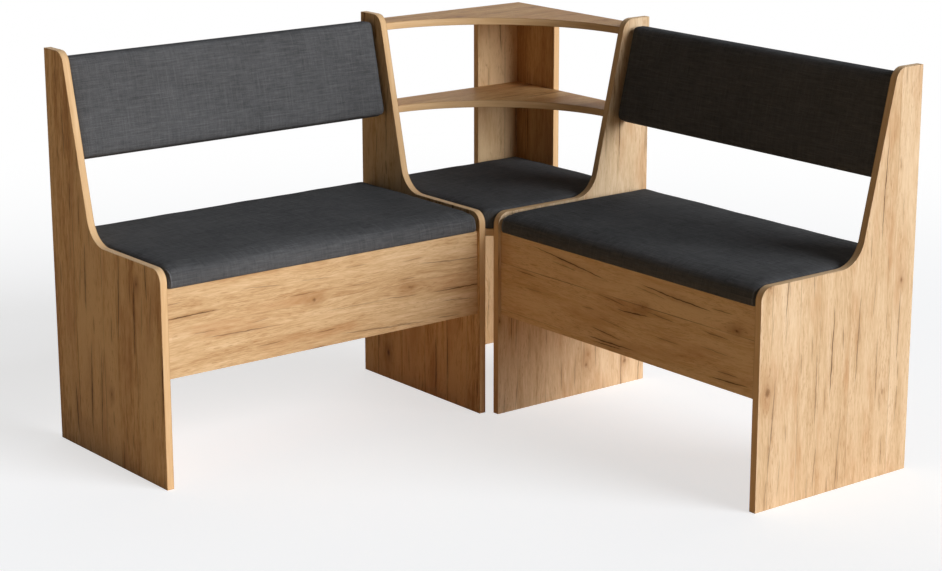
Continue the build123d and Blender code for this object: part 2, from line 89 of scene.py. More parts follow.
class Signal:
    """A node's output, which can stand in sums."""

    def __init__(self, graph: "Graph", socket: bpy.types.NodeSocket) -> None:
        """Keeps the socket and the graph that it belongs to."""
        self.graph = graph
        self.socket = socket

    def __add__(self, other: "Number") -> "Signal":
        """Sum."""
        return self.graph.math("ADD", self, other)

    def __radd__(self, other: "Number") -> "Signal":
        """Sum."""
        return self.graph.math("ADD", other, self)

    def __sub__(self, other: "Number") -> "Signal":
        """Difference."""
        return self.graph.math("SUBTRACT", self, other)

    def __rsub__(self, other: "Number") -> "Signal":
        """Difference."""
        return self.graph.math("SUBTRACT", other, self)

    def __mul__(self, other: "Number") -> "Signal":
        """Product."""
        return self.graph.math("MULTIPLY", self, other)

    def __truediv__(self, other: "Number") -> "Signal":
        """Quotient."""
        return self.graph.math("DIVIDE", self, other)

    def swing(self, amount: float) -> "Signal":
        """A signal from 0 to 1 as a swing to both sides of zero."""
        return (self - 0.5) * amount


Number = Union[float, Signal]
Given = Union[float, Signal, Sequence[float]]


class Graph:
    """Makes the nodes of one tree and joins them."""

    def __init__(self, tree: bpy.types.NodeTree) -> None:
        """Keeps the tree."""
        self.tree = tree

    def node(self, kind: str, inputs: Optional[dict] = None, **settings: object) -> bpy.types.Node:
        """Adds a node.

        Args:
            kind: The node's type name.
            inputs: Values or signals for its sockets, by name or number.
            settings: The node's own properties.

        Returns:
            The new node.
        """
        made = self.tree.nodes.new(kind)
        for label, value in settings.items():
            setattr(made, label, value)
        for label, value in (inputs or {}).items():
            self.feed(made.inputs[label], value)
        return made

    def feed(self, socket: bpy.types.NodeSocket, value: Given) -> None:
        """Links a signal to a socket, or sets a plain value on it."""
        if isinstance(value, Signal):
            self.tree.links.new(value.socket, socket)
        else:
            socket.default_value = value

    def out(self, node: bpy.types.Node, label: Union[str, int] = 0) -> Signal:
        """One of a node's outputs."""
        return Signal(self, node.outputs[label])

    def math(self, operation: str, *values: Number) -> Signal:
        """Result of a maths node."""
        return self.out(self.node("ShaderNodeMath", dict(enumerate(values)), operation=operation))

    def vector(self, x: Number, y: Number, z: Number = 0.0) -> Signal:
        """Vector of three numbers."""
        return self.out(self.node("ShaderNodeCombineXYZ", {0: x, 1: y, 2: z}))

    def split(self, vector: Signal) -> tuple[Signal, Signal, Signal]:
        """The three numbers of a vector."""
        made = self.node("ShaderNodeSeparateXYZ", {0: vector})
        return self.out(made, 0), self.out(made, 1), self.out(made, 2)

    def local(self, vector: Signal, origin: Sequence[float], axes: Sequence[Sequence[float]]) -> Signal:
        """A vector in the axes of a piece.

        Args:
            vector: Place or direction in the object's own space.
            origin: Point that becomes zero.
            axes: The piece's three directions.

        Returns:
            The vector's parts along those directions.
        """
        ends = {0: vector, 1: tuple(origin)}
        moved = self.out(self.node("ShaderNodeVectorMath", ends, operation="SUBTRACT"))
        parts = []
        for axis in axes:
            made = self.node("ShaderNodeVectorMath", {0: moved, 1: tuple(axis)}, operation="DOT_PRODUCT")
            parts.append(self.out(made, "Value"))
        return self.vector(*parts)

    def noise(self, vector: Signal, detail: float = 2.0, roughness: float = 0.5) -> Signal:
        """Smooth noise from 0 to 1, about one wave to each unit of the vector."""
        inputs = {"Vector": vector, "Scale": 1.0, "Detail": detail, "Roughness": roughness}
        return self.out(self.node("ShaderNodeTexNoise", inputs, noise_dimensions="3D"))

    def smooth(self, low: float, high: float, value: Number) -> Signal:
        """Soft step from 0 at low to 1 at high."""
        inputs = {"Value": value, "From Min": low, "From Max": high}
        return self.out(self.node("ShaderNodeMapRange", inputs, interpolation_type="SMOOTHSTEP"), "Result")

    def square(self, value: Signal) -> Signal:
        """A signal times itself."""
        return self.math("POWER", value, 2.0)

    def oval(self, x: Signal, y: Signal, size: tuple[float, float]) -> Signal:
        """Squared distance from zero, one on the rim of an oval."""
        return self.square(x / size[0]) + self.square(y / size[1])

    def gauss(self, value: Signal) -> Signal:
        """Bell curve of a squared distance."""
        return self.math("EXPONENT", value * -1.0)

    def mix(self, factor: Number, first: Given, second: Given) -> Signal:
        """Colour between two colours."""
        inputs = {0: factor, 6: first, 7: second}
        return self.out(self.node("ShaderNodeMix", inputs, data_type="RGBA"), 2)

    def ramp(self, value: Signal, stops: Sequence[tuple[float, Colour]]) -> Signal:
        """Colour read from a ramp of stops."""
        made = self.node("ShaderNodeValToRGB", {0: value})
        elements = made.color_ramp.elements
        while len(elements) < len(stops):
            elements.new(1.0)
        for element, (place, colour) in zip(elements, stops):
            element.position = place
            element.color = colour
        return self.out(made)


class Effect:
    """A shader node group that is built once and placed in many materials."""

    name = "effect"
    inputs: dict[str, str] = {}
    outputs: dict[str, str] = {}

    def __init__(self) -> None:
        """Builds the group's tree."""
        self.tree = bpy.data.node_groups.new(self.name, "ShaderNodeTree")
        for label, kind in self.inputs.items():
            self.tree.interface.new_socket(label, in_out="INPUT", socket_type=kind)
        for label, kind in self.outputs.items():
            self.tree.interface.new_socket(label, in_out="OUTPUT", socket_type=kind)
        graph = Graph(self.tree)
        entry = graph.node("NodeGroupInput")
        leave = graph.node("NodeGroupOutput")
        drawn = self.draw(graph, {label: graph.out(entry, label) for label in self.inputs})
        for label, signal in drawn.items():
            graph.feed(leave.inputs[label], signal)

    def draw(self, graph: Graph, given: dict[str, Signal]) -> dict[str, Signal]:
        """Draws the group's nodes; each effect has its own."""
        raise NotImplementedError

    def place(self, graph: Graph, values: dict[str, Given]) -> dict[str, Signal]:
        """Puts the group into a material.

        Args:
            graph: The material's graph.
            values: What its inputs take.

        Returns:
            The group's outputs by name.
        """
        made = graph.node("ShaderNodeGroup", node_tree=self.tree)
        for label, value in values.items():
            graph.feed(made.inputs[label], value)
        return {label: graph.out(made, label) for label in self.outputs}


VALUE, VECTOR, COLOUR = "NodeSocketFloat", "NodeSocketVector", "NodeSocketColor"


@dataclass(frozen=True)
class Layer:
    """One noise of a figure: its waves to the metre in three directions, and its fineness."""

    first: float
    second: float
    third: float = 0.0
    start: float = 0.0
    detail: float = 2.0
    roughness: float = 0.5

    def draw(self, graph: Graph, s: Signal, t: Signal, d: Optional[Signal] = None) -> Signal:
        """Draws the noise.

        Args:
            graph: The graph to draw in.
            s: Place in the first direction.
            t: Place in the second direction.
            d: Place in the third direction, or none for a flat figure.

        Returns:
            The noise from 0 to 1.
        """
        depth: Number = self.start
        if d is not None:
            depth = d * self.third + self.start if self.start else d * self.third
        place = graph.vector(s * self.first, t * self.second, depth)
        return graph.noise(place, self.detail, self.roughness)


@dataclass(frozen=True)
class Split:
    """One kind of split in the oak: its cell across and along the grain, half its length and width."""

    cell: tuple[float, float]
    reach: float
    width: float


class OakFigure(Effect):
    """Printed oak: calm bands and short fibres that flow round knots, with ragged dark splits and pores.

    Place runs across the grain, along it, and into the board.
    """

    name = "oak_figure"
    inputs = {"Place": VECTOR, "Tone": VALUE, "Rustic": VALUE, "Pale": VALUE, "Bold": VALUE}
    outputs = {"Colour": COLOUR, "Height": VALUE, "Gloss": VALUE}

    stops = (
        (0.20, srgb(178, 134, 86)),
        (0.38, srgb(196, 155, 105)),
        (0.54, srgb(209, 171, 121)),
        (0.80, srgb(224, 191, 145)),
    )
    pale_stops = (
        (0.20, srgb(187, 154, 118)),
        (0.38, srgb(204, 176, 140)),
        (0.54, srgb(217, 191, 157)),
        (0.80, srgb(230, 208, 178)),
    )
    blush_colour = srgb(186, 138, 94)
    split_colour = srgb(74, 48, 27)
    knot_colour = srgb(108, 72, 42)
    halo_colour = srgb(156, 110, 66)

    wander = Layer(2.4, 1.1, 2.0, detail=1.0)
    wander_reach = 0.036
    ripple = Layer(17.0, 6.0, 6.0)
    ripple_reach = 0.0070
    jag = Layer(30.0, 55.0, 6.0)
    jag_reach = 0.0030
    tone_layers = (
        (Layer(15.0, 1.5, 4.0, detail=1.0), 0.52),
        (Layer(52.0, 4.2, 8.0), 0.46),
        (Layer(165.0, 11.0, 16.0, roughness=0.6), 0.46),
    )
    fibre = Layer(560.0, 40.0, 40.0, roughness=0.6)
    fibre_tone = 0.66
    flame = Layer(17.0, 3.6, 4.0, 5.3, detail=4.0, roughness=0.65)
    flame_share = 0.55
    pore = Layer(760.0, 62.0, 60.0, detail=1.0)
    pore_group = Layer(36.0, 5.0, 9.0)

    plank_width = 0.088
    plank_tone = 0.17
    plank_slide = 1.3
    joint_width = 0.0008
    joint_break = Layer(8.0, 3.4, start=7.7)

    knot_cell = (0.120, 0.26)
    knot_reach = (0.026, 0.085)
    knot_push = 0.82
    knot_size = (0.0050, 0.0095)
    knot_rough = Layer(130.0, 48.0, 20.0, detail=3.0, roughness=0.6)
    knot_rough_reach = 3.4

    long_split = Split((0.062, 0.30), 0.140, 0.0012)
    short_split = Split((0.040, 0.15), 0.060, 0.0008)
    short_split_place = 3.3
    split_rough = Layer(60.0, 48.0, start=1.7, detail=1.0)
    split_lean = 0.16

    def scatter(self, graph: Graph, s: Signal, t: Signal, cell: tuple[float, float]) -> tuple[Signal, ...]:
        """The nearest of a scatter of points, about one to each cell.

        Args:
            graph: The group's graph.
            s: Place across the grain.
            t: Place along the grain.
            cell: Width and length of a cell.

        Returns:
            The way from the point across and along, and three numbers of its own.
        """
        wide, tall = cell
        x, y = s / wide, t / tall
        inputs = {"Vector": graph.vector(x, y), "Scale": 1.0, "Randomness": 0.7}
        made = graph.node("ShaderNodeTexVoronoi", inputs, voronoi_dimensions="2D", feature="F1")
        px, py, _ = graph.split(graph.out(made, "Position"))
        return ((x - px) * wide, (y - py) * tall, *graph.split(graph.out(made, "Color")))

    def knots(self, graph: Graph, s: Signal, t: Signal) -> tuple[Signal, Signal, Signal]:
        """Scattered knots.

        Args:
            graph: The group's graph.
            s: Place across the grain.
            t: Place along the grain.

        Returns:
            Sideways push on the grain, the ring distance from the nearest knot, and whether one is there.
        """
        ds, dt, red, green, _ = self.scatter(graph, s, t, self.knot_cell)
        here = graph.smooth(0.46, 0.50, red)
        size = green * green * 1.1 + 0.5
        push = ds * graph.gauss(graph.oval(ds, dt, self.knot_reach)) * here * self.knot_push
        return push, graph.math("SQRT", graph.oval(ds, dt, self.knot_size)) / size, here

    def splits(self, graph: Graph, s: Signal, t: Signal, kind: Split) -> tuple[Signal, Signal]:
        """Thin ragged splits that taper out along the grain.

        Args:
            graph: The group's graph.
            s: Place across the grain.
            t: Place along the grain.
            kind: The size of the splits, with at most one of them in a cell.

        Returns:
            The line of the split and the soft shade beside it.
        """
        ds, dt, red, green, blue = self.scatter(graph, s, t, kind.cell)
        here = graph.smooth(0.34, 0.38, red) * (blue * 0.5 + 0.5)
        share = graph.math("ABSOLUTE", dt) / ((green * 0.65 + 0.35) * kind.reach)
        taper = graph.smooth(1.0, 0.1, share)
        off = ds - dt * (green - 0.42) * self.split_lean
        ragged = self.split_rough.draw(graph, s, t) * 1.8 + 0.1
        thin = (taper * 0.7 + 0.3) * ragged * kind.width
        line = graph.gauss(graph.square(off / thin))
        shade = graph.gauss(graph.square(off / (kind.width * 6.0)))
        return line * graph.smooth(0.0, 0.35, taper) * here, shade * taper * here

    def planks(self, graph: Graph, s: Signal, t: Signal) -> tuple[Signal, Signal]:
        """Broad strips side by side.

        Args:
            graph: The group's graph.
            s: Place across the grain.
            t: Place along the grain.

        Returns:
            A number for each strip, and the faint line where two of them meet.
        """
        inputs = {"W": s / self.plank_width, "Scale": 1.0, "Randomness": 0.85}
        kinds = [
            graph.node("ShaderNodeTexVoronoi", inputs, voronoi_dimensions="1D", feature=feature)
            for feature in ("F1", "DISTANCE_TO_EDGE")
        ]
        number, other, _ = graph.split(graph.out(kinds[0], "Color"))
        off = graph.out(kinds[1], "Distance") * (self.plank_width / self.joint_width)
        broken = graph.smooth(0.40, 0.62, self.joint_break.draw(graph, s, t))
        return number, graph.gauss(off * off) * broken * other

    def draw(self, graph: Graph, given: dict[str, Signal]) -> dict[str, Signal]:
        """Draws the printed figure."""
        s, t, d = graph.split(given["Place"])
        rustic = given["Rustic"]
        plank, joint = self.planks(graph, s, t)
        push, ring, here = self.knots(graph, s, t)
        wander = self.wander.draw(graph, s, t, d).swing(self.wander_reach)
        ripple = self.ripple.draw(graph, s, t, d).swing(self.ripple_reach)
        jag = self.jag.draw(graph, s, t, d).swing(self.jag_reach)
        free = s + wander + ripple
        s = free - push
        t = t + plank * self.plank_slide
        fibre = self.fibre.draw(graph, s, t, d)
        tone = fibre.swing(self.fibre_tone) + plank.swing(self.plank_tone)
        for layer, strength in self.tone_layers:
            tone = tone + layer.draw(graph, s, t, d).swing(strength)
        tone = tone * given["Bold"] + given["Tone"]
        colour = graph.mix(given["Pale"], graph.ramp(tone, self.stops), graph.ramp(tone, self.pale_stops))
        flame = graph.smooth(0.48, 0.72, self.flame.draw(graph, s, t, d))
        colour = graph.mix(flame * self.flame_share, colour, self.blush_colour)
        pore = graph.smooth(0.55, 0.70, self.pore.draw(graph, s, t, d))
        grouped = graph.smooth(0.38, 0.62, self.pore_group.draw(graph, s, t, d))
        colour = graph.mix(pore * (grouped * 0.34 + 0.10), colour, self.halo_colour)
        split, shade = self.splits(graph, free + jag, t, self.long_split)
        crack, tint = self.splits(graph, free + jag + self.short_split_place, t, self.short_split)
        dark = graph.math("MAXIMUM", split, crack * 0.6)
        dark = graph.math("MAXIMUM", dark, joint * 0.8) * rustic
        shade = graph.math("MAXIMUM", shade, tint * 0.7) * rustic
        colour = graph.mix(shade * 0.34, colour, self.halo_colour)
        colour = graph.mix(dark, colour, self.split_colour)
        ring = ring + self.knot_rough.draw(graph, s, t, d).swing(self.knot_rough_reach)
        halo = graph.gauss(ring * ring * 0.07) * here * rustic
        core = graph.smooth(1.4, 0.0, ring) * here * rustic
        colour = graph.mix(halo * 0.42, colour, self.halo_colour)
        colour = graph.mix(core * 0.66, colour, self.knot_colour)
        height = fibre * 0.35 - pore * 0.3 - dark * 0.9 - core * 0.4
        gloss = 0.52 + fibre.swing(0.18) + pore * 0.1 + dark * 0.12
        return {"Colour": colour, "Height": height, "Gloss": gloss}


class EdgeBand(Effect):
    """Banded board edge: a plain oak strip along the edge, with a dark glue line at each arris."""

    name = "edge_band"
    inputs = {"Place": VECTOR, "Half": VALUE}
    outputs = {"Colour": COLOUR, "Height": VALUE}

    stops = (
        (0.28, srgb(199, 161, 116)),
        (0.50, srgb(217, 182, 138)),
        (0.75, srgb(231, 202, 162)),
    )
    glue_colour = srgb(150, 108, 66)
    glue_line = (-0.0016, -0.0004)
    broad = Layer(9.0, 9.0, 120.0)
    line = Layer(14.0, 14.0, 900.0, roughness=0.6)

    def draw(self, graph: Graph, given: dict[str, Signal]) -> dict[str, Signal]:
        """Draws the strip."""
        s, t, d = graph.split(given["Place"])
        line = self.line.draw(graph, s, t, d)
        tone = 0.5 + self.broad.draw(graph, s, t, d).swing(0.45) + line.swing(0.5)
        rim = graph.math("ABSOLUTE", d) - given["Half"]
        glue = graph.smooth(*self.glue_line, rim)
        colour = graph.mix(glue * 0.5, graph.ramp(tone, self.stops), self.glue_colour)
        return {"Colour": colour, "Height": line * 0.4 - glue * 0.5}


class ClothWeave(Effect):
    """Plain weave of uneven yarns, laid flat on each side of a pad.

    Place and Facing are in the pad's own directions: along, across, and out from the board.
    """

    name = "cloth_weave"
    inputs = {"Place": VECTOR, "Facing": VECTOR, "Dark": COLOUR, "Light": COLOUR}
    outputs = {"Colour": COLOUR, "Height": VALUE, "Gloss": VALUE}

    pitch = 0.0018
    turned = 0.72
    sunk = 0.6
    sway = Layer(30.0, 30.0, start=4.0, detail=1.0)
    sway_reach = 0.0012
    warp = Layer(1.37, 16.0, start=0.3)
    weft = Layer(16.0, 1.37, start=5.1)
    slub_up = Layer(260.0, 11.0, start=2.0, detail=1.0)
    slub_side = Layer(11.0, 260.0, start=9.0, detail=1.0)
    slub_share = (0.50, 0.72)
    cloud = Layer(9.0, 9.0, 9.0, detail=3.0)
    mottle = Layer(95.0, 95.0, start=3.0, detail=3.0, roughness=0.65)
    streak = Layer(24.0, 330.0, start=6.0)

    def draw(self, graph: Graph, given: dict[str, Signal]) -> dict[str, Signal]:
        """Draws the yarns and the slubs."""
        a, b, c = graph.split(given["Place"])
        na, nb, _ = graph.split(given["Facing"])
        end = graph.math("GREATER_THAN", graph.math("ABSOLUTE", na), self.turned)
        front = graph.math("GREATER_THAN", graph.math("ABSOLUTE", nb), self.turned)
        p = a + (c - a) * end
        q = b + (c - b) * front
        sway = self.sway.draw(graph, p, q).swing(self.sway_reach)
        p, q = p + sway, q + sway
        x, y = p / self.pitch, q / self.pitch
        i, j = graph.math("FLOOR", x), graph.math("FLOOR", y)
        over = graph.math("FLOORED_MODULO", i + j, 2.0)
        warp_round = graph.math("COSINE", (x - i - 0.5) * math.pi)
        weft_round = graph.math("COSINE", (y - j - 0.5) * math.pi)
        warp_rise = warp_round * (1.0 - over * self.sunk)
        weft_rise = weft_round * (over * self.sunk + (1.0 - self.sunk))
        height = graph.math("MAXIMUM", warp_rise, weft_rise)
        warp = self.warp.draw(graph, i, q)
        yarn = warp + (self.weft.draw(graph, p, j) - warp) * over
        slub_up = graph.smooth(*self.slub_share, self.slub_up.draw(graph, p, q))
        slub_side = graph.smooth(*self.slub_share, self.slub_side.draw(graph, p, q))
        # The (height - 0.7) term makes the yarns' raised crowns lighter and the dips between them darker:
        # painted shade of the weave's relief.
        tone = 0.40 + yarn.swing(0.62) + slub_up * 0.08 + slub_side * 0.10 + (height - 0.7) * 0.3
        tone = tone + self.streak.draw(graph, p, q).swing(0.42)
        tone = tone + self.cloud.draw(graph, a, b, c).swing(0.30)
        tone = tone + self.mottle.draw(graph, p, q).swing(0.36)
        colour = graph.mix(tone, given["Dark"], given["Light"])
        height = height + (slub_up + slub_side) * 0.5
        return {"Colour": colour, "Height": height, "Gloss": 0.68 + yarn.swing(0.2)}


class ChipBoard(Effect):
    """Pressed wood chips of several sizes and tones."""

    name = "chip_board"
    inputs = {"Place": VECTOR}
    outputs = {"Colour": COLOUR, "Height": VALUE}

    stops = (
        (0.2, srgb(126, 102, 74)),
        (0.5, srgb(166, 142, 110)),
        (0.8, srgb(196, 174, 142)),
    )
    chips = ((170.0, 0.40), (420.0, 0.35))
    dust = Layer(900.0, 900.0, 900.0)
    dust_share = 0.25

    def draw(self, graph: Graph, given: dict[str, Signal]) -> dict[str, Signal]:
        """Draws two sizes of chip over fine dust."""
        place = given["Place"]
        tone = self.dust.draw(graph, *graph.split(place)) * self.dust_share
        for scale, share in self.chips:
            inputs = {"Vector": place, "Scale": scale, "Randomness": 1.0}
            chip = graph.node("ShaderNodeTexVoronoi", inputs, voronoi_dimensions="3D")
            tone = tone + graph.split(graph.out(chip, "Color"))[0] * share
        return {"Colour": graph.ramp(tone, self.stops), "Height": tone}


class MetalWear(Effect):
    """Fine scuffs and dull patches on bare metal."""

    name = "metal_wear"
    inputs = {"Place": VECTOR, "Bright": COLOUR, "Dull": COLOUR}
    outputs = {"Colour": COLOUR, "Rough": VALUE, "Height": VALUE}

    patch = Layer(110.0, 110.0, 110.0, detail=3.0)
    scuff = Layer(300.0, 2600.0, 2600.0)

    def draw(self, graph: Graph, given: dict[str, Signal]) -> dict[str, Signal]:
        """Draws the patches and the scuffs."""
        place = graph.split(given["Place"])
        patch = self.patch.draw(graph, *place)
        mark = graph.smooth(0.55, 0.75, self.scuff.draw(graph, *place))
        dull = graph.smooth(0.35, 0.7, patch)
        colour = graph.mix(dull * 0.7 + mark * 0.2, given["Bright"], given["Dull"])
        rough = 0.27 + dull * 0.16 + mark * 0.1
        return {"Colour": colour, "Rough": rough, "Height": mark * 0.5 + patch * 0.3}


@dataclass
class Effects:
    """All the shared effects, built once."""

    oak: OakFigure = field(default_factory=OakFigure)
    edge: EdgeBand = field(default_factory=EdgeBand)
    weave: ClothWeave = field(default_factory=ClothWeave)
    chips: ChipBoard = field(default_factory=ChipBoard)
    metal: MetalWear = field(default_factory=MetalWear)


@dataclass
class Paint:
    """One material in the making: its graph, its shader and the object's own coordinates."""

    name: str

    def __post_init__(self) -> None:
        """Makes the empty material with its shader."""
        self.material = bpy.data.materials.new(self.name)
        self.material.use_nodes = True
        self.material.node_tree.nodes.clear()
        self.graph = Graph(self.material.node_tree)
        self.shader = self.graph.node("ShaderNodeBsdfPrincipled")
        self.graph.node("ShaderNodeOutputMaterial", {"Surface": self.graph.out(self.shader)})
        coordinates = self.graph.node("ShaderNodeTexCoord")
        self.place = self.graph.out(coordinates, "Object")
        self.normal = self.graph.out(coordinates, "Normal")

    def set(self, **values: Given) -> None:
        """Feeds the shader's sockets, given with underscores for spaces."""
        for label, value in values.items():
            self.graph.feed(self.shader.inputs[label.replace("_", " ")], value)

    def bump(self, height: Signal, depth: float, arris: float = 0.0) -> None:
        """Raises the surface by a height signal.

        Args:
            height: The signal.
            depth: Rise in metres for a signal of one.
            arris: Radius of the softened edges, or none.
        """
        inputs: dict = {"Strength": 1.0, "Distance": depth, "Height": height}
        if arris:
            soft = self.graph.node("ShaderNodeBevel", {"Radius": arris}, samples=4)
            inputs["Normal"] = self.graph.out(soft)
        self.set(Normal=self.graph.out(self.graph.node("ShaderNodeBump", inputs)))


@dataclass(frozen=True)
class Tint:
    """How a stretch of the oak print is toned."""

    tone: float = 0.5
    rustic: float = 1.0
    pale: float = 0.0
    bold: float = 1.05

    def inputs(self) -> dict[str, float]:
        """The tint as the oak figure takes it."""
        return {"Tone": self.tone, "Rustic": self.rustic, "Pale": self.pale, "Bold": self.bold}


@dataclass(frozen=True)
class OakFinish:
    """Oak laminate on one board, with its own stretch of the print."""

    name: str
    face: Axis
    grain: Axis
    shift: tuple[float, float]
    tint: Tint = Tint()
    broad_facing: tuple[float, float] = (0.6, 0.8)
    gloss: float = 0.06
    relief: float = 0.00022
    arris: float = 0.0009

    def material(self, effects: Effects, middle: Vector, half: float) -> bpy.types.Material:
        """Makes the material.

        Args:
            effects: The shared effects.
            middle: The board's middle.
            half: Half of its thickness.

        Returns:
            The material.
        """
        paint = Paint(self.name)
        graph = paint.graph
        face, grain = Vector(self.face.value), Vector(self.grain.value)
        axes = (tuple(face.cross(grain)), tuple(grain), tuple(face))
        place = graph.local(paint.place, middle, axes)
        _, _, facing = graph.split(graph.local(paint.normal, (0.0, 0.0, 0.0), axes))
        broad = graph.smooth(*self.broad_facing, graph.math("ABSOLUTE", facing))
        shift = {0: place, 1: (*self.shift, 0.0)}
        print_place = graph.out(graph.node("ShaderNodeVectorMath", shift, operation="ADD"))
        figure = effects.oak.place(graph, {"Place": print_place, **self.tint.inputs()})
        edge = effects.edge.place(graph, {"Place": place, "Half": half})
        paint.set(
            Base_Color=graph.mix(broad, edge["Colour"], figure["Colour"]),
            Roughness=figure["Gloss"],
            Specular_IOR_Level=self.gloss,
        )
        height = figure["Height"] * broad + edge["Height"] * (1.0 - broad)
        paint.bump(height, self.relief, self.arris)
        return paint.material


@dataclass(frozen=True)
class ClothFinish:
    """Charcoal cloth on one pad."""

    name: str
    dark: Colour = srgb(56, 57, 59)
    light: Colour = srgb(118, 120, 124)
    relief: float = 0.00045

    def material(self, effects: Effects, origin: Vector, axes: Sequence[Vector]) -> bpy.types.Material:
        """Makes the material.

        Args:
            effects: The shared effects.
            origin: The pad's own zero.
            axes: The pad's own directions.

        Returns:
            The material.
        """
        paint = Paint(self.name)
        graph = paint.graph
        sides = [tuple(axis) for axis in axes]
        given = {
            "Place": graph.local(paint.place, origin, sides),
            "Facing": graph.local(paint.normal, (0.0, 0.0, 0.0), sides),
            "Dark": self.dark,
            "Light": self.light,
        }
        weave = effects.weave.place(graph, given)
        paint.set(
            Base_Color=weave["Colour"],
            Roughness=weave["Gloss"],
            Specular_IOR_Level=0.0,
            Sheen_Weight=0.03,
            Sheen_Roughness=0.45,
            Sheen_Tint=srgb(190, 194, 202),
        )
        paint.bump(weave["Height"], self.relief)
        return paint.material


@dataclass(frozen=True)
class SeamHighlightFinish(ClothFinish):
    """The rolled cloth of a seam, coloured lighter than the pad's cloth as a painted highlight along the
    seam.
    """

    dark: Colour = srgb(80, 81, 85)
    light: Colour = srgb(146, 149, 156)


@dataclass(frozen=True)
class BoardFinish:
    """Raw pressed board under the upholstery."""

    name: str = "raw_board"
    relief: float = 0.0003

    def material(self, effects: Effects) -> bpy.types.Material:
        """Makes the material."""
        paint = Paint(self.name)
        chips = effects.chips.place(paint.graph, {"Place": paint.place})
        paint.set(Base_Color=chips["Colour"], Roughness=0.78, Specular_IOR_Level=0.3)
        paint.bump(chips["Height"], self.relief)
        return paint.material


@dataclass(frozen=True)
class DowelFinish:
    """Beech dowels."""

    name: str = "beech_dowel"
    tint: Tint = Tint(0.62, 0.0, 0.5, 1.0)
    relief: float = 0.0002

    def material(self, effects: Effects) -> bpy.types.Material:
        """Makes the material."""
        paint = Paint(self.name)
        figure = effects.oak.place(paint.graph, {"Place": paint.place, **self.tint.inputs()})
        paint.set(Base_Color=figure["Colour"], Roughness=figure["Gloss"], Specular_IOR_Level=0.3)
        paint.bump(figure["Height"], self.relief)
        return paint.material


@dataclass(frozen=True)
class MetalFinish:
    """Plated or cast metal of the fittings."""

    name: str
    bright: Colour
    dull: Colour
    relief: float = 0.0001
    arris: float = 0.0004

    def material(self, effects: Effects) -> bpy.types.Material:
        """Makes the material."""
        paint = Paint(self.name)
        given = {"Place": paint.place, "Bright": self.bright, "Dull": self.dull}
        wear = effects.metal.place(paint.graph, given)
        paint.set(Base_Color=wear["Colour"], Metallic=1.0, Roughness=wear["Rough"])
        paint.bump(wear["Height"], self.relief, self.arris)
        return paint.material


STEEL = MetalFinish("plated_steel", srgb(206, 207, 208), srgb(158, 160, 162))
ZINC = MetalFinish("cast_zinc", srgb(178, 180, 184), srgb(128, 131, 136))


def dress(node: str, material: bpy.types.Material) -> None:
    """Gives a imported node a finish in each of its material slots."""
    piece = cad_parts[node]
    if not piece.material_slots:
        piece.data.materials.append(material)
    for slot in piece.material_slots:
        slot.material = material
    LOG.info("%s: %s", node, material.name)


def dress_board(node: str, finish: OakFinish, effects: Effects) -> None:
    """Gives a packed board its oak laminate."""
    low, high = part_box(node)
    index = list(Axis).index(finish.face)
    dress(node, finish.material(effects, (low + high) / 2, (high[index] - low[index]) / 2))


@dataclass
class Outline:
    """A pad's plan: straight sides between rounded corners, drawn in a little along the sides."""

    corners: Sequence[tuple[float, float]]
    radius: float
    draw_in: float
    arc_steps: int = 6
    side_steps: int = 24

    def trace(self) -> tuple[np.ndarray, np.ndarray]:
        """Points round the outline.

        Returns:
            The points and the outward directions at them.
        """
        corners = np.array(self.corners, float)
        count = len(corners)
        arcs = []
        for k in range(count):
            before = corners[k] - corners[k - 1]
            after = corners[(k + 1) % count] - corners[k]
            before, after = before / np.linalg.norm(before), after / np.linalg.norm(after)
            turn = math.acos(float(np.clip(before @ after, -1.0, 1.0)))
            start = math.atan2(-before[0], before[1])
            middle = corners[k] - before * self.radius * math.tan(turn / 2)
            middle = middle - np.array([before[1], -before[0]]) * self.radius
            angles = start + turn * np.linspace(0.0, 1.0, self.arc_steps + 1)
            outward = np.stack([np.cos(angles), np.sin(angles)], axis=1)
            arcs.append((middle + outward * self.radius, outward))
        points, normals = [], []
        for k in range(count):
            arc, outward = arcs[k]
            points.append(arc)
            normals.append(outward)
            share = np.linspace(0.0, 1.0, self.side_steps + 2)[1:-1, None]
            side = arc[-1] + (arcs[(k + 1) % count][0][0] - arc[-1]) * share
            pull = self.draw_in * (1.0 - (2.0 * share - 1.0) ** 2)
            points.append(side - outward[-1] * pull)
            normals.append(np.repeat(outward[-1:], self.side_steps, axis=0))
        return np.concatenate(points), np.concatenate(normals)

    def inset(self, points: np.ndarray) -> tuple[np.ndarray, np.ndarray]:
        """Where points lie in the plan.

        Args:
            points: Points, with their first two numbers in the plan.

        Returns:
            How far each point lies inside the rounded outline, and the way out from there.
        """
        corners = np.array(self.corners, float)
        runs = np.roll(corners, -1, axis=0) - corners
        inward = np.stack([-runs[:, 1], runs[:, 0]], axis=1) / np.linalg.norm(runs, axis=1)[:, None]
        core = []
        for k in range(len(corners)):
            sides = np.stack([inward[k - 1], inward[k]])
            reach = (sides * corners[k]).sum(axis=1) + self.radius
            core.append(np.linalg.solve(sides, reach))
        core = np.array(core)
        flat = points[:, :2]
        best = np.full(len(flat), np.inf)
        way = np.zeros_like(flat)
        deep = np.full(len(flat), np.inf)
        for k in range(len(core)):
            run = core[(k + 1) % len(core)] - core[k]
            share = np.clip((flat - core[k]) @ run / (run @ run), 0.0, 1.0)
            off = flat - core[k] - share[:, None] * run
            far = np.linalg.norm(off, axis=1)
            nearer = far < best
            best = np.where(nearer, far, best)
            way = np.where(nearer[:, None], off / np.maximum(far, 1e-9)[:, None], way)
            deep = np.minimum(deep, (flat - core[k]) @ inward[k])
        inside = deep > 0
        depth = np.where(inside, self.radius + best, self.radius - best)
        return depth, np.where(inside[:, None], -way, way)


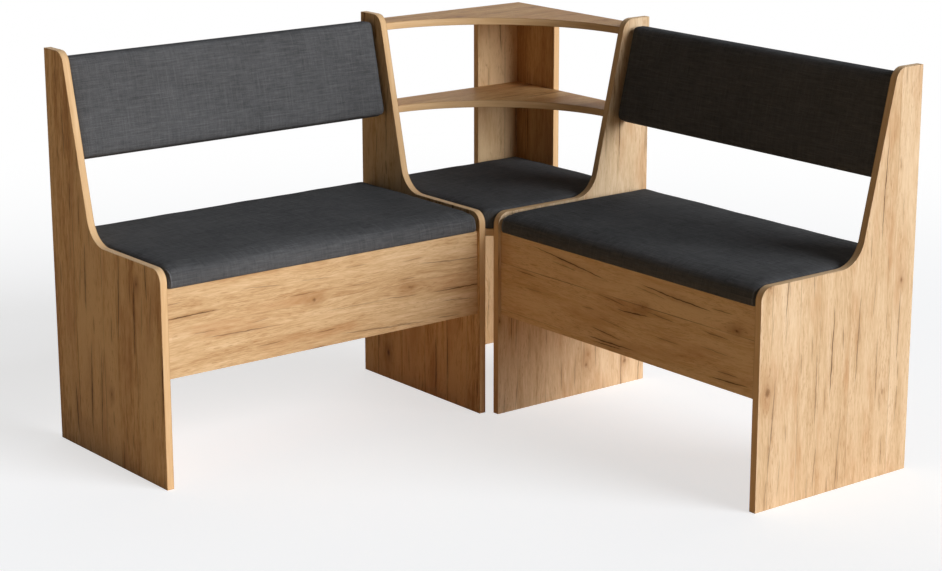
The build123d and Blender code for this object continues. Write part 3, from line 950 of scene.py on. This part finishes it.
@dataclass
class Form:
    """A closed mesh in a pad's own directions."""

    points: np.ndarray
    faces: np.ndarray

    @staticmethod
    def read(mesh: bpy.types.Mesh) -> "Form":
        """Reads a mesh of four-sided faces."""
        points = np.zeros(len(mesh.vertices) * 3)
        mesh.vertices.foreach_get("co", points)
        faces = np.zeros(len(mesh.loops), np.int64)
        mesh.loops.foreach_get("vertex_index", faces)
        return Form(points.reshape(-1, 3), faces.reshape(-1, 4))

    def mesh(self, name: str, matrix: Optional[Matrix] = None) -> bpy.types.Mesh:
        """Writes the form as a mesh, set in a frame that may be a mirror image."""
        made = bpy.data.meshes.new(name)
        points, faces = self.points, self.faces
        if matrix is not None:
            turn = np.array(matrix)
            points = points @ turn[:3, :3].T + turn[:3, 3]
            if matrix.determinant() < 0:
                faces = faces[:, ::-1]
        made.from_pydata(points.tolist(), [], faces.tolist())
        made.polygons.foreach_set("use_smooth", [True] * len(made.polygons))
        made.update()
        return made

    def relaxed(self, rounds: int, keep: np.ndarray) -> "Form":
        """The form with its small steps smoothed out, apart from the points to keep."""
        pairs = np.concatenate([self.faces[:, [k, (k + 1) % 4]] for k in range(4)])
        pairs = np.unique(np.sort(pairs, axis=1), axis=0)
        count = np.bincount(pairs.ravel(), minlength=len(self.points))[:, None]
        points = self.points.copy()
        for _ in range(rounds):
            total = np.zeros_like(points)
            np.add.at(total, pairs[:, 0], points[pairs[:, 1]])
            np.add.at(total, pairs[:, 1], points[pairs[:, 0]])
            moved = (points + total / count) / 2
            points = np.where(keep[:, None], points, moved)
        return Form(points, self.faces)


@dataclass
class PadMaker:
    """Makes a padded form: a closed block, remeshed, blown up as cloth, then drawn down on its board."""

    name: str
    outline: Outline
    height: float
    edge: float
    crown: float
    hem: float
    seed: int
    wave_depth: float
    front_fall: float = 0.0
    front_reach: float = 0.045
    swell: float = 0.004
    voxel: float = 0.006
    pressure: float = 4.0
    frames: int = 20
    board_top: float = 0.019
    foot_rings: Sequence[tuple[float, float]] = ((0.0012, 0.0), (0.0003, 0.0006), (0.0, 0.002))
    edge_rings: int = 7
    crown_power: float = 2.4
    held_height: float = 0.008
    bending: float = 4.0
    relax_rounds: int = 4
    under_height: float = 0.0035
    wall_reach: float = 0.007
    lip: float = 0.0003
    lip_rise: float = 0.0002
    bare_rise: float = 0.0045
    wave_count: int = 9
    wave_lengths: tuple[float, float] = (0.07, 0.26)
    wave_foot: float = 0.012

    def block(self) -> bpy.types.Object:
        """The plain closed block that the pad starts from."""
        points, outward = self.outline.trace()
        rings = list(self.foot_rings)
        for angle in np.linspace(0.0, math.pi / 2, self.edge_rings):
            drop = self.edge * (1 - math.sin(angle))
            rings.append((self.edge * (1 - math.cos(angle)), self.height - drop))
        count = len(points)
        levels = [np.column_stack([points - outward * i, np.full(count, h)]) for i, h in rings]
        faces = []
        for level in range(len(rings) - 1):
            base = level * count
            for k in range(count):
                step = (k + 1) % count
                faces.append((base + k, base + step, base + count + step, base + count + k))
        faces.append(tuple(reversed(range(count))))
        faces.append(tuple(range((len(rings) - 1) * count, len(rings) * count)))
        mesh = bpy.data.meshes.new(self.name + "_block")
        mesh.from_pydata(np.concatenate(levels).tolist(), [], faces)
        return place_object(self.name + "_block", mesh)

    def evaluated(self, piece: bpy.types.Object) -> Form:
        """The object's mesh with its modifiers."""
        graph = bpy.context.evaluated_depsgraph_get()
        mesh = bpy.data.meshes.new_from_object(piece.evaluated_get(graph), depsgraph=graph)
        form = Form.read(mesh)
        bpy.data.meshes.remove(mesh)
        return form

    def remeshed(self) -> Form:
        """The block in even small squares."""
        block = self.block()
        remesh = block.modifiers.new("even", "REMESH")
        remesh.mode = "VOXEL"
        remesh.voxel_size = self.voxel
        form = self.evaluated(block)
        bpy.data.objects.remove(block)
        return form

    def shaped(self, form: Form) -> Form:
        """The form with its crown, and with the fall of its front edge."""
        points = form.points.copy()
        low, high = points.min(0), points.max(0)
        middle, half = (low + high) / 2, (high - low) / 2
        share = np.abs((points - middle) / half) ** self.crown_power
        rise = np.clip(points[:, 2] / self.height, 0.0, 1.0)
        crown = (1 - share[:, 0]) * (1 - share[:, 1])
        near = np.clip((points[:, 1] - (high[1] - self.front_reach)) / self.front_reach, 0.0, 1.0)
        points[:, 2] += rise * (self.crown * crown - self.front_fall * near**2)
        return Form(points, form.faces)

    def inflated(self, form: Form) -> Form:
        """The form blown up as cloth that is held round its board."""
        piece = place_object(self.name + "_cloth", form.mesh(self.name + "_cloth"))
        held = piece.vertex_groups.new(name="held")
        held.add(np.flatnonzero(form.points[:, 2] < self.held_height).tolist(), 1.0, "REPLACE")
        cloth = piece.modifiers.new("cloth", "CLOTH")
        cloth.settings.quality = 4
        cloth.settings.vertex_group_mass = "held"
        cloth.settings.use_pressure = True
        cloth.settings.uniform_pressure_force = self.pressure
        cloth.settings.effector_weights.gravity = 0.0
        cloth.settings.bending_stiffness = self.bending
        cloth.collision_settings.use_collision = False
        cloth.point_cache.frame_start = 1
        cloth.point_cache.frame_end = self.frames
        for step in range(1, self.frames + 1):
            bpy.context.scene.frame_set(step)
        blown = self.evaluated(piece)
        bpy.context.scene.frame_set(1)
        bpy.data.objects.remove(piece)
        move = blown.points - form.points
        far = np.linalg.norm(move, axis=1, keepdims=True)
        capped = self.swell * np.tanh(far / self.swell) / np.maximum(far, 1e-9)
        LOG.info("%s: cloth moved %.1f mm before the cap", self.name, 1000 * far.max())
        return Form(form.points + move * capped, form.faces)

    def settled(self, form: Form) -> Form:
        """The form drawn down on its board: upright round it, flat beneath, open over its bare middle."""
        under = form.points[:, 2] < self.under_height
        points = form.relaxed(self.relax_rounds, under).points
        depth, outward = self.outline.inset(points)
        rim = under & (depth < self.under_height)
        wall = ~under & (points[:, 2] < self.board_top) & (depth > 0.0) & (depth < self.wall_reach)
        points[wall, :2] += outward[wall] * depth[wall, None]
        points[rim, :2] += outward[rim] * (depth[rim, None] - self.lip)
        flat = under & ~rim
        points[rim, 2] = self.lip_rise
        points[flat, 2] = np.where(depth[flat] > self.hem, self.bare_rise, 0.0)
        return Form(points, form.faces)

    def refined(self, form: Form) -> Form:
        """The form divided once more."""
        piece = place_object(self.name + "_fine", form.mesh(self.name + "_fine"))
        finer = piece.modifiers.new("finer", "SUBSURF")
        finer.levels = finer.render_levels = 1
        result = self.evaluated(piece)
        bpy.data.objects.remove(piece)
        return result

    def make(self) -> Form:
        """Makes the finished form."""
        form = self.shaped(self.remeshed())
        form = self.inflated(form)
        return self.refined(self.settled(form))

    def used(self, form: Form, number: int = 0) -> Form:
        """The form with the slight waves of one pad's own cloth.

        Args:
            form: The finished form.
            number: Which pad of its kind it is.

        Returns:
            The waved form.
        """
        draw = np.random.default_rng(self.seed + number)
        points = form.points.copy()
        wave = np.zeros(len(points))
        for _ in range(self.wave_count):
            angle, length = draw.uniform(0, math.pi), draw.uniform(*self.wave_lengths)
            phase = draw.uniform(0, 2 * math.pi)
            run = points[:, 0] * math.cos(angle) + points[:, 1] * math.sin(angle)
            wave += np.sin(2 * math.pi * run / length + phase) / self.wave_count
        rise = np.clip((points[:, 2] - self.wave_foot) / self.height, 0.0, 1.0)
        points[:, 2] += wave * self.wave_depth * rise
        return Form(points, form.faces)


@dataclass
class Tube:
    """A thin round thread or wire along a line of points."""

    radius: float
    sides: int = 8
    end_share: float = 0.25

    def form(self, line: np.ndarray) -> Form:
        """The tube round a line, closed at both ends."""
        rings = []
        n, last = self.sides, len(line) - 1
        angles = np.linspace(0, 2 * math.pi, n, endpoint=False)
        for k, point in enumerate(line):
            run = line[min(k + 1, last)] - line[max(k - 1, 0)]
            run = run / np.linalg.norm(run)
            side = np.cross(run, (1.0, 0.0, 0.0) if abs(run[0]) < 0.9 else (0.0, 1.0, 0.0))
            side = side / np.linalg.norm(side)
            up = np.cross(run, side)
            size = self.radius * (self.end_share if k in (0, last) else 1.0)
            rings.append(point + size * (np.outer(np.cos(angles), side) + np.outer(np.sin(angles), up)))
        faces = []
        for k in range(last):
            for m in range(n):
                s = (m + 1) % n
                faces.append((k * n + m, k * n + s, (k + 1) * n + s, (k + 1) * n + m))
        for base, order in ((0, -1), (last * n, 1)):
            for m in range(1, n // 2):
                ring = (base + m - 1, base + m, base + n - 1 - m, base + (n - m) % n)
                faces.append(ring[::order])
        return Form(np.concatenate(rings), np.array(faces))


def join(forms: Sequence[Form]) -> Form:
    """Several forms as one."""
    offset, points, faces = 0, [], []
    for form in forms:
        points.append(form.points)
        faces.append(form.faces + offset)
        offset += len(form.points)
    return Form(np.concatenate(points), np.concatenate(faces))


@dataclass
class Cushion:
    """One padded piece on its body, with its sewn corners and the staples of its hem."""

    name: str
    body: str
    maker: PadMaker
    form: Form
    matrix: Matrix
    replaced: Sequence[str]
    fill: float
    staple_inset: float = 0.0
    staple_gaps: Sequence[tuple[float, float]] = ()
    staple_pitch: float = 0.036
    staple_wire: Tube = field(default_factory=lambda: Tube(0.00045, 6))
    staple_half: float = 0.005
    staple_corner: float = 0.0005
    staple_rises: Sequence[float] = (0.0016, 0.0002, -0.00025, -0.00025, 0.0002, 0.0016)
    seam: Tube = field(default_factory=lambda: Tube(0.0019))
    seam_inset: float = 0.007
    seam_foot: float = 0.003
    seam_turn: float = 0.020
    seam_pivot: tuple[float, float] = (0.026, 0.018)
    seam_tilts: tuple[float, float] = (0.1, 1.45)
    seam_steps: int = 14
    seam_aim: float = 0.1

    def piece(self, name: str, form: Form, slot: str, material: bpy.types.Material) -> bpy.types.Object:
        """Makes an object from a form and lets it ride on the cushion's body.

        Args:
            name: The piece's name.
            form: Its shape in the cushion's own directions.
            slot: Not used.
            material: Its finish.

        Returns:
            The new piece.
        """
        made = place_object(name, form.mesh(name, self.matrix))
        made.data.materials.append(material)
        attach(made, self.body)
        LOG.info("%s: %d faces", name, len(made.data.polygons))
        return made

    def cloth(self, effects: Effects, finish: ClothFinish) -> bpy.types.Material:
        """A cloth that lies along the cushion."""
        axes = [self.matrix.col[k].to_3d() for k in range(3)]
        return finish.material(effects, self.matrix.translation, axes)

    def build(self, effects: Effects, steel: bpy.types.Material) -> None:
        """Builds the cushion, its seams and its staples."""
        cloth = self.cloth(effects, ClothFinish(self.name + "_cloth"))
        made = self.piece(self.name, self.form, "upholstery_fabric", cloth)
        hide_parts(*self.replaced)
        if self.maker.front_fall:
            # The seam's lighter cloth is a painted highlight.
            thread = self.cloth(effects, SeamHighlightFinish(self.name + "_seam_highlight_cloth"))
            self.piece(self.name + "_seams", self.seams(), "upholstery_fabric", thread)
        if self.staple_inset:
            self.piece(self.name + "_staples", self.staples(), "plated_steel", steel)

    def seams(self) -> Form:
        """Upright seams at the front corners, laid on the cushion."""
        tree = BVHTree.FromPolygons(self.form.points.tolist(), self.form.faces.tolist())
        low, high = self.form.points.min(0), self.form.points.max(0)
        back, up = self.seam_pivot
        seams = []
        for along in (low[0] + self.seam_inset, high[0] - self.seam_inset):
            line = []
            for level in np.arange(self.seam_foot, self.seam_turn, self.seam_foot):
                line.append(tree.ray_cast((along, high[1] + self.seam_aim, level), (0, -1, 0))[0])
            pivot = Vector((along, high[1] - back, up))
            for tilt in np.linspace(*self.seam_tilts, self.seam_steps):
                ray = Vector((0, math.cos(tilt), math.sin(tilt)))
                line.append(tree.ray_cast(pivot + ray * self.seam_aim, -ray)[0])
            seams.append(self.seam.form(np.array([p for p in line if p is not None])))
        return join(seams)

    def staples(self) -> Form:
        """Wire staples that hold the hem, in a row along each side, with gaps where a hinge lies."""
        corners = np.array(self.maker.outline.corners)
        low, high = corners.min(0) + self.staple_inset, corners.max(0) - self.staple_inset
        half, bend = self.staple_half, self.staple_half - self.staple_corner
        reach = np.array([-half, -half, -bend, bend, half, half])
        rise = np.array(self.staple_rises)
        counts = [round((high[k] - low[k]) / self.staple_pitch) for k in range(2)]
        still = np.zeros_like(reach)
        lines = []
        for across in (low[1], high[1]):
            for along in np.linspace(low[0], high[0], counts[0]):
                if across > low[1] or not any(a < along < b for a, b in self.staple_gaps):
                    lines.append(np.column_stack([along + reach, across + still, rise]))
        for along in (low[0], high[0]):
            for across in np.linspace(low[1], high[1], counts[1])[1:-1]:
                lines.append(np.column_stack([along + still, across + reach, rise]))
        return join([self.staple_wire.form(line) for line in lines])


@dataclass
class Upholstery:
    """The five pads: two seats, two backrests and the corner seat."""

    half: float = 0.636
    seat_plane: float = 0.418
    corner_plane: float = 0.420
    lean: float = math.radians(13.0)
    panel_height: float = 0.850
    panel_top_depth: float = 0.072
    back_depth: float = 0.058
    staple_inset: float = 0.045
    hinge_spans: Sequence[tuple[float, float]] = ((0.546, 0.622), (1.098, 1.174))

    def seat_maker(self) -> PadMaker:
        """The seat lids' pad."""
        corners = ((0.468, 0.008), (1.252, 0.008), (1.252, 0.433), (0.468, 0.433))
        return PadMaker(
            "seat", Outline(corners, radius=0.0045, draw_in=0.0005), height=0.0425, edge=0.011,
            crown=0.0035, hem=0.080, seed=11, wave_depth=0.0013, front_fall=0.0095, swell=0.0016,
        )

    def back_maker(self) -> PadMaker:
        """The backrests' pad."""
        corners = ((0.467, 0.0065), (1.253, 0.0065), (1.253, 0.2245), (0.467, 0.2245))
        return PadMaker(
            "back", Outline(corners, radius=0.0105, draw_in=0.0005), height=0.0410, edge=0.012,
            crown=0.0035, hem=0.080, seed=21, wave_depth=0.0010, swell=0.0018,
        )

    def corner_maker(self) -> PadMaker:
        """The corner seat's pad."""
        corners = ((0.018, 0.018), (0.446, 0.018), (0.446, 0.422), (0.422, 0.446), (0.018, 0.446))
        return PadMaker(
            "corner", Outline(corners, radius=0.010, draw_in=0.0005), height=0.0425, edge=0.012,
            crown=0.0040, hem=0.024, seed=31, wave_depth=0.0014, swell=0.0013,
        )

    def arm_frame(self, side: Side, origin: Triple, across: Triple, out: Triple) -> Matrix:
        """A pad's frame on one arm; the right arm is the left one's mirror image.

        Args:
            side: The arm.
            origin: The pad's zero on the left arm.
            across: Its second direction there.
            out: Its third direction there.

        Returns:
            The frame as a matrix.
        """
        columns = [Vector((-1, 0, 0)), Vector(across), Vector(out), Vector(origin)]
        if side is Side.RIGHT:
            columns = [Vector((c.y, c.x, c.z)) for c in columns]
        return Matrix([[c[row] for c in columns] for row in range(3)] + [[0, 0, 0, 1]])

    def level_frame(self, side: Side, plane: float) -> Matrix:
        """The frame of a seat that lies level."""
        return self.arm_frame(side, (self.half, self.half, plane), (0, -1, 0), (0, 0, 1))

    def leaning_frame(self, side: Side) -> Matrix:
        """The frame of a leaning backrest."""
        facing = (0.0, -math.cos(self.lean), math.sin(self.lean))
        down = (0.0, -math.sin(self.lean), -math.cos(self.lean))
        top = Vector((self.half, self.half - self.panel_top_depth, self.panel_height))
        return self.arm_frame(side, tuple(top - Vector(facing) * self.back_depth), down, facing)

    def build(self, effects: Effects, steel: bpy.types.Material) -> None:
        """Makes the three kinds of form and sets each where it belongs."""
        seat, back, corner = self.seat_maker(), self.back_maker(), self.corner_maker()
        seat_form, back_form, corner_form = seat.make(), back.make(), corner.make()
        cushions = []
        for number, side in enumerate(Side):
            arm = side.value
            cushions.append(Cushion(
                f"{arm}_seat_pad", f"{arm}_lid", seat, seat.used(seat_form, number),
                self.level_frame(side, self.seat_plane), (f"{arm}_seat_cover", f"{arm}_seat_foam"),
                fill=0.75, staple_inset=self.staple_inset, staple_gaps=self.hinge_spans,
            ))
            cushions.append(Cushion(
                f"{arm}_back_pad", "bench", back, back.used(back_form, number),
                self.leaning_frame(side), (f"{arm}_back_cover", f"{arm}_back_foam"),
                fill=0.8, staple_inset=self.staple_inset,
            ))
        cushions.append(Cushion(
            "corner_seat_pad", "bench", corner, corner.used(corner_form),
            self.level_frame(Side.LEFT, self.corner_plane), ("corner_seat_cover", "corner_seat_foam"),
            fill=0.75,
        ))
        for cushion in cushions:
            cushion.build(effects, steel)


@dataclass
class Arm:
    """One storage arm's boards and fittings.

    The left arm's panels are bolder and more split, the right arm's paler. These tints are lit and shaded
    copies of one laminate: the left arm's panels and the right arm's apron lie in the key light's shade,
    so they get a lighter, deeper-coloured and bolder tint as painted shade colour.
    """

    side: Side
    # Painted shade colour: the left panels' tint stands for the laminate in shade, the right panels' tint
    # for it in the key light.
    panel_tints_lit_and_shaded: dict[Side, Tint] = field(
        default_factory=lambda: {
            Side.LEFT: Tint(0.70, 1.6, 0.0, 2.4),
            Side.RIGHT: Tint(0.50, 1.0, 1.0, 0.85),
        }
    )
    # Painted shade colour: the right apron's tint stands for the laminate in shade, the left apron's tint
    # for it in the key light.
    apron_tints_lit_and_shaded: dict[Side, Tint] = field(
        default_factory=lambda: {
            Side.LEFT: Tint(0.50, 1.1, 0.5),
            Side.RIGHT: Tint(0.74, 1.5, 0.1),
        }
    )
    print_starts: dict[Side, float] = field(default_factory=lambda: {Side.LEFT: 0.0, Side.RIGHT: 5.0})

    def finishes(self) -> dict[str, OakFinish]:
        """The laminate of each board: upright grain on the panels, level grain on the chest."""
        run, wall = (Axis.X, Axis.Y) if self.side is Side.LEFT else (Axis.Y, Axis.X)
        name, start = self.side.value, self.print_starts[self.side]
        panel, apron = self.panel_tints_lit_and_shaded[self.side], self.apron_tints_lit_and_shaded[self.side]
        return {
            "end_panel": OakFinish(name + "_end_oak", run, Axis.Z, (start + 0.3, 1.1), panel),
            "inner_panel": OakFinish(name + "_inner_oak", run, Axis.Z, (start + 1.4, 2.3), panel),
            "apron": OakFinish(name + "_apron_oak", wall, run, (start + 2.1, 0.4), apron),
            "rear_rail": OakFinish(name + "_rail_oak", wall, run, (start + 2.8, 1.7)),
            "chest_floor": OakFinish(name + "_floor_oak", Axis.Z, run, (start + 3.4, 3.1)),
        }

    def dress(self, effects: Effects, steel: bpy.types.Material, board: bpy.types.Material) -> None:
        """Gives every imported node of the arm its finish."""
        name = self.side.value
        for part, finish in self.finishes().items():
            dress_board(f"{name}_{part}", finish, effects)
        for part in ("seat_board", "back_board"):
            dress(f"{name}_{part}", board)
        fittings = ("back_brackets", "back_bracket_screws", "hinge_rail_leaves", "hinge_lid_leaves")
        for part in fittings + ("hinge_pins", "hinge_rail_screws", "hinge_lid_screws"):
            dress(f"{name}_{part}", steel)


@dataclass
class CornerUnit:
    """The corner post, the shelves, the corner seat's base and the hidden fittings."""

    # Painted shade: the right post board, which faces away from the key light, and the middle shelf under
    # the top shelf get a darker, deeper tint for the shade of the corner recess. The left post board's
    # tint is light and the top shelf's is dark.
    post_left: Tint = Tint(0.85, pale=0.25)
    post_right: Tint = Tint(0.36, bold=1.2)
    top_shelf: Tint = Tint(0.26, bold=1.2)
    middle_shelf: Tint = Tint(0.32, bold=1.2)

    def finishes(self) -> dict[str, OakFinish]:
        """The laminate of each board."""
        return {
            "post_left_board": OakFinish("post_left_oak", Axis.Y, Axis.Z, (10.2, 0.6), self.post_left),
            "post_right_board": OakFinish("post_right_oak", Axis.X, Axis.Z, (11.1, 1.2), self.post_right),
            "top_shelf": OakFinish("top_shelf_oak", Axis.Z, Axis.X, (12.3, 0.2), self.top_shelf),
            "middle_shelf": OakFinish("middle_shelf_oak", Axis.Z, Axis.X, (13.2, 0.9), self.middle_shelf),
            "corner_seat_base": OakFinish("corner_base_oak", Axis.Z, Axis.X, (14.4, 2.0)),
        }

    def dress(self, effects: Effects, steel: bpy.types.Material, board: bpy.types.Material) -> None:
        """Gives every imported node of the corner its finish."""
        for node, finish in self.finishes().items():
            dress_board(node, finish, effects)
        dress("corner_seat_board", board)
        dress("cam_bolts", steel)
        dress("post_screws", steel)
        dress("cam_locks", ZINC.material(effects))
        dress("wood_dowels", DowelFinish().material(effects))


@dataclass(frozen=True)
class Lamp:
    """A wide soft light from far off."""

    name: str
    come_from: Triple
    strength: float
    spread: float
    colour: Triple

    def hang(self) -> None:
        """Adds the light to the scene."""
        data = bpy.data.lights.new(self.name, "SUN")
        data.energy = self.strength
        data.angle = self.spread
        data.color = self.colour
        made = place_object(self.name, data)
        made.rotation_mode = "QUATERNION"
        made.rotation_quaternion = Vector(self.come_from).to_track_quat("Z", "Y")


@dataclass
class Studio:
    """Camera, soft light, pale floor and white background."""

    place: Triple = (-2.986, -3.779, 1.657)
    heading: float = math.radians(51.491)
    dip: float = math.radians(14.998)
    focal_pixels: float = 2392.5
    shift_x: float = -0.0125
    key: Lamp = Lamp("key", (0.36, -0.86, 0.28), 3.5, math.radians(42.0), (1.0, 1.0, 1.0))
    fill: Lamp = Lamp("fill", (0.55, 0.75, 0.42), 0.6, math.radians(70.0), (1.0, 0.94, 0.86))
    ambient: float = 0.075
    ambient_colour: Colour = (1.0, 0.91, 0.84, 1.0)
    floor_size: float = 30.0
    floor_glow: float = 0.65
    floor_seen: Colour = (0.53, 0.56, 0.60, 1.0)
    floor_bounce: Colour = (1.0, 0.71, 0.41, 1.0)
    floor_reach: tuple[float, float] = (1.3, 3.4)

    def camera(self) -> None:
        """Stands the camera where the photograph was taken."""
        data = bpy.data.cameras.new("camera")
        data.sensor_width = SENSOR_WIDTH
        data.sensor_fit = "HORIZONTAL"
        data.lens = self.focal_pixels * SENSOR_WIDTH / IMAGE_WIDTH
        data.shift_x = self.shift_x
        made = place_object("camera", data)
        made.location = self.place
        flat = math.cos(self.dip)
        ahead, aside = math.cos(self.heading) * flat, math.sin(self.heading) * flat
        look = Vector((ahead, aside, -math.sin(self.dip)))
        made.rotation_mode = "QUATERNION"
        made.rotation_quaternion = look.to_track_quat("-Z", "Y")
        bpy.context.scene.camera = made

    def seen(self, graph: Graph) -> Signal:
        """One for what the camera, a gloss or a clear surface looks at, else zero."""
        path = graph.node("ShaderNodeLightPath")
        looks = graph.out(path, "Is Camera Ray") + graph.out(path, "Is Glossy Ray")
        return graph.math("MINIMUM", looks + graph.out(path, "Is Transmission Ray"), 1.0)

    def world(self) -> None:
        """Even soft light from all round, white where it is looked at."""
        made = bpy.data.worlds.new("studio")
        made.use_nodes = True
        made.node_tree.nodes.clear()
        graph = Graph(made.node_tree)
        seen = self.seen(graph)
        strength = self.ambient + seen * (1.0 - self.ambient)
        colour = graph.mix(seen, self.ambient_colour, WHITE)
        shine = graph.node("ShaderNodeBackground", {"Color": colour, "Strength": strength})
        graph.node("ShaderNodeOutputWorld", {"Surface": graph.out(shine)})
        bpy.context.scene.world = made

    def floor(self) -> None:
        """A pale floor that keeps the shadow near the bench and fades to white further off."""
        size = self.floor_size
        mesh = bpy.data.meshes.new("studio_floor")
        corners = [(-size, -size, 0), (size, -size, 0), (size, size, 0), (-size, size, 0)]
        mesh.from_pydata(corners, [], [(0, 1, 2, 3)])
        place_object("studio_floor", mesh)
        material = bpy.data.materials.new("pale_floor")
        material.use_nodes = True
        material.node_tree.nodes.clear()
        graph = Graph(material.node_tree)
        coordinates = graph.out(graph.node("ShaderNodeTexCoord"), "Object")
        far = graph.out(graph.node("ShaderNodeVectorMath", {0: coordinates}, operation="LENGTH"), "Value")
        fade = graph.smooth(*self.floor_reach, far)
        seen = self.seen(graph)
        colour = graph.mix(seen, self.floor_bounce, self.floor_seen)
        matt = graph.out(graph.node("ShaderNodeBsdfDiffuse", {"Color": colour}))
        glow = graph.node("ShaderNodeEmission", {"Color": WHITE, "Strength": seen * self.floor_glow})
        lit = graph.out(graph.node("ShaderNodeAddShader", {0: matt, 1: graph.out(glow)}))
        white = graph.out(graph.node("ShaderNodeEmission", {"Color": WHITE, "Strength": 1.0}))
        mixed = graph.node("ShaderNodeMixShader", {0: fade * seen, 1: lit, 2: white})
        graph.node("ShaderNodeOutputMaterial", {"Surface": graph.out(mixed)})
        mesh.materials.append(material)

    def build(self) -> None:
        """Sets up the studio."""
        self.camera()
        self.key.hang()
        self.fill.hang()
        self.world()
        self.floor()
        bpy.context.scene.view_settings.view_transform = "Standard"


def main() -> None:
    """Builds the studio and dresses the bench."""
    logging.basicConfig(level=logging.INFO, format="%(message)s")
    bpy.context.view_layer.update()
    Studio().build()
    effects = Effects()
    steel = STEEL.material(effects)
    board = BoardFinish().material(effects)
    for side in Side:
        Arm(side).dress(effects, steel, board)
    CornerUnit().dress(effects, steel, board)
    Upholstery().build(effects, steel)


if __name__ == "__main__":
    main()
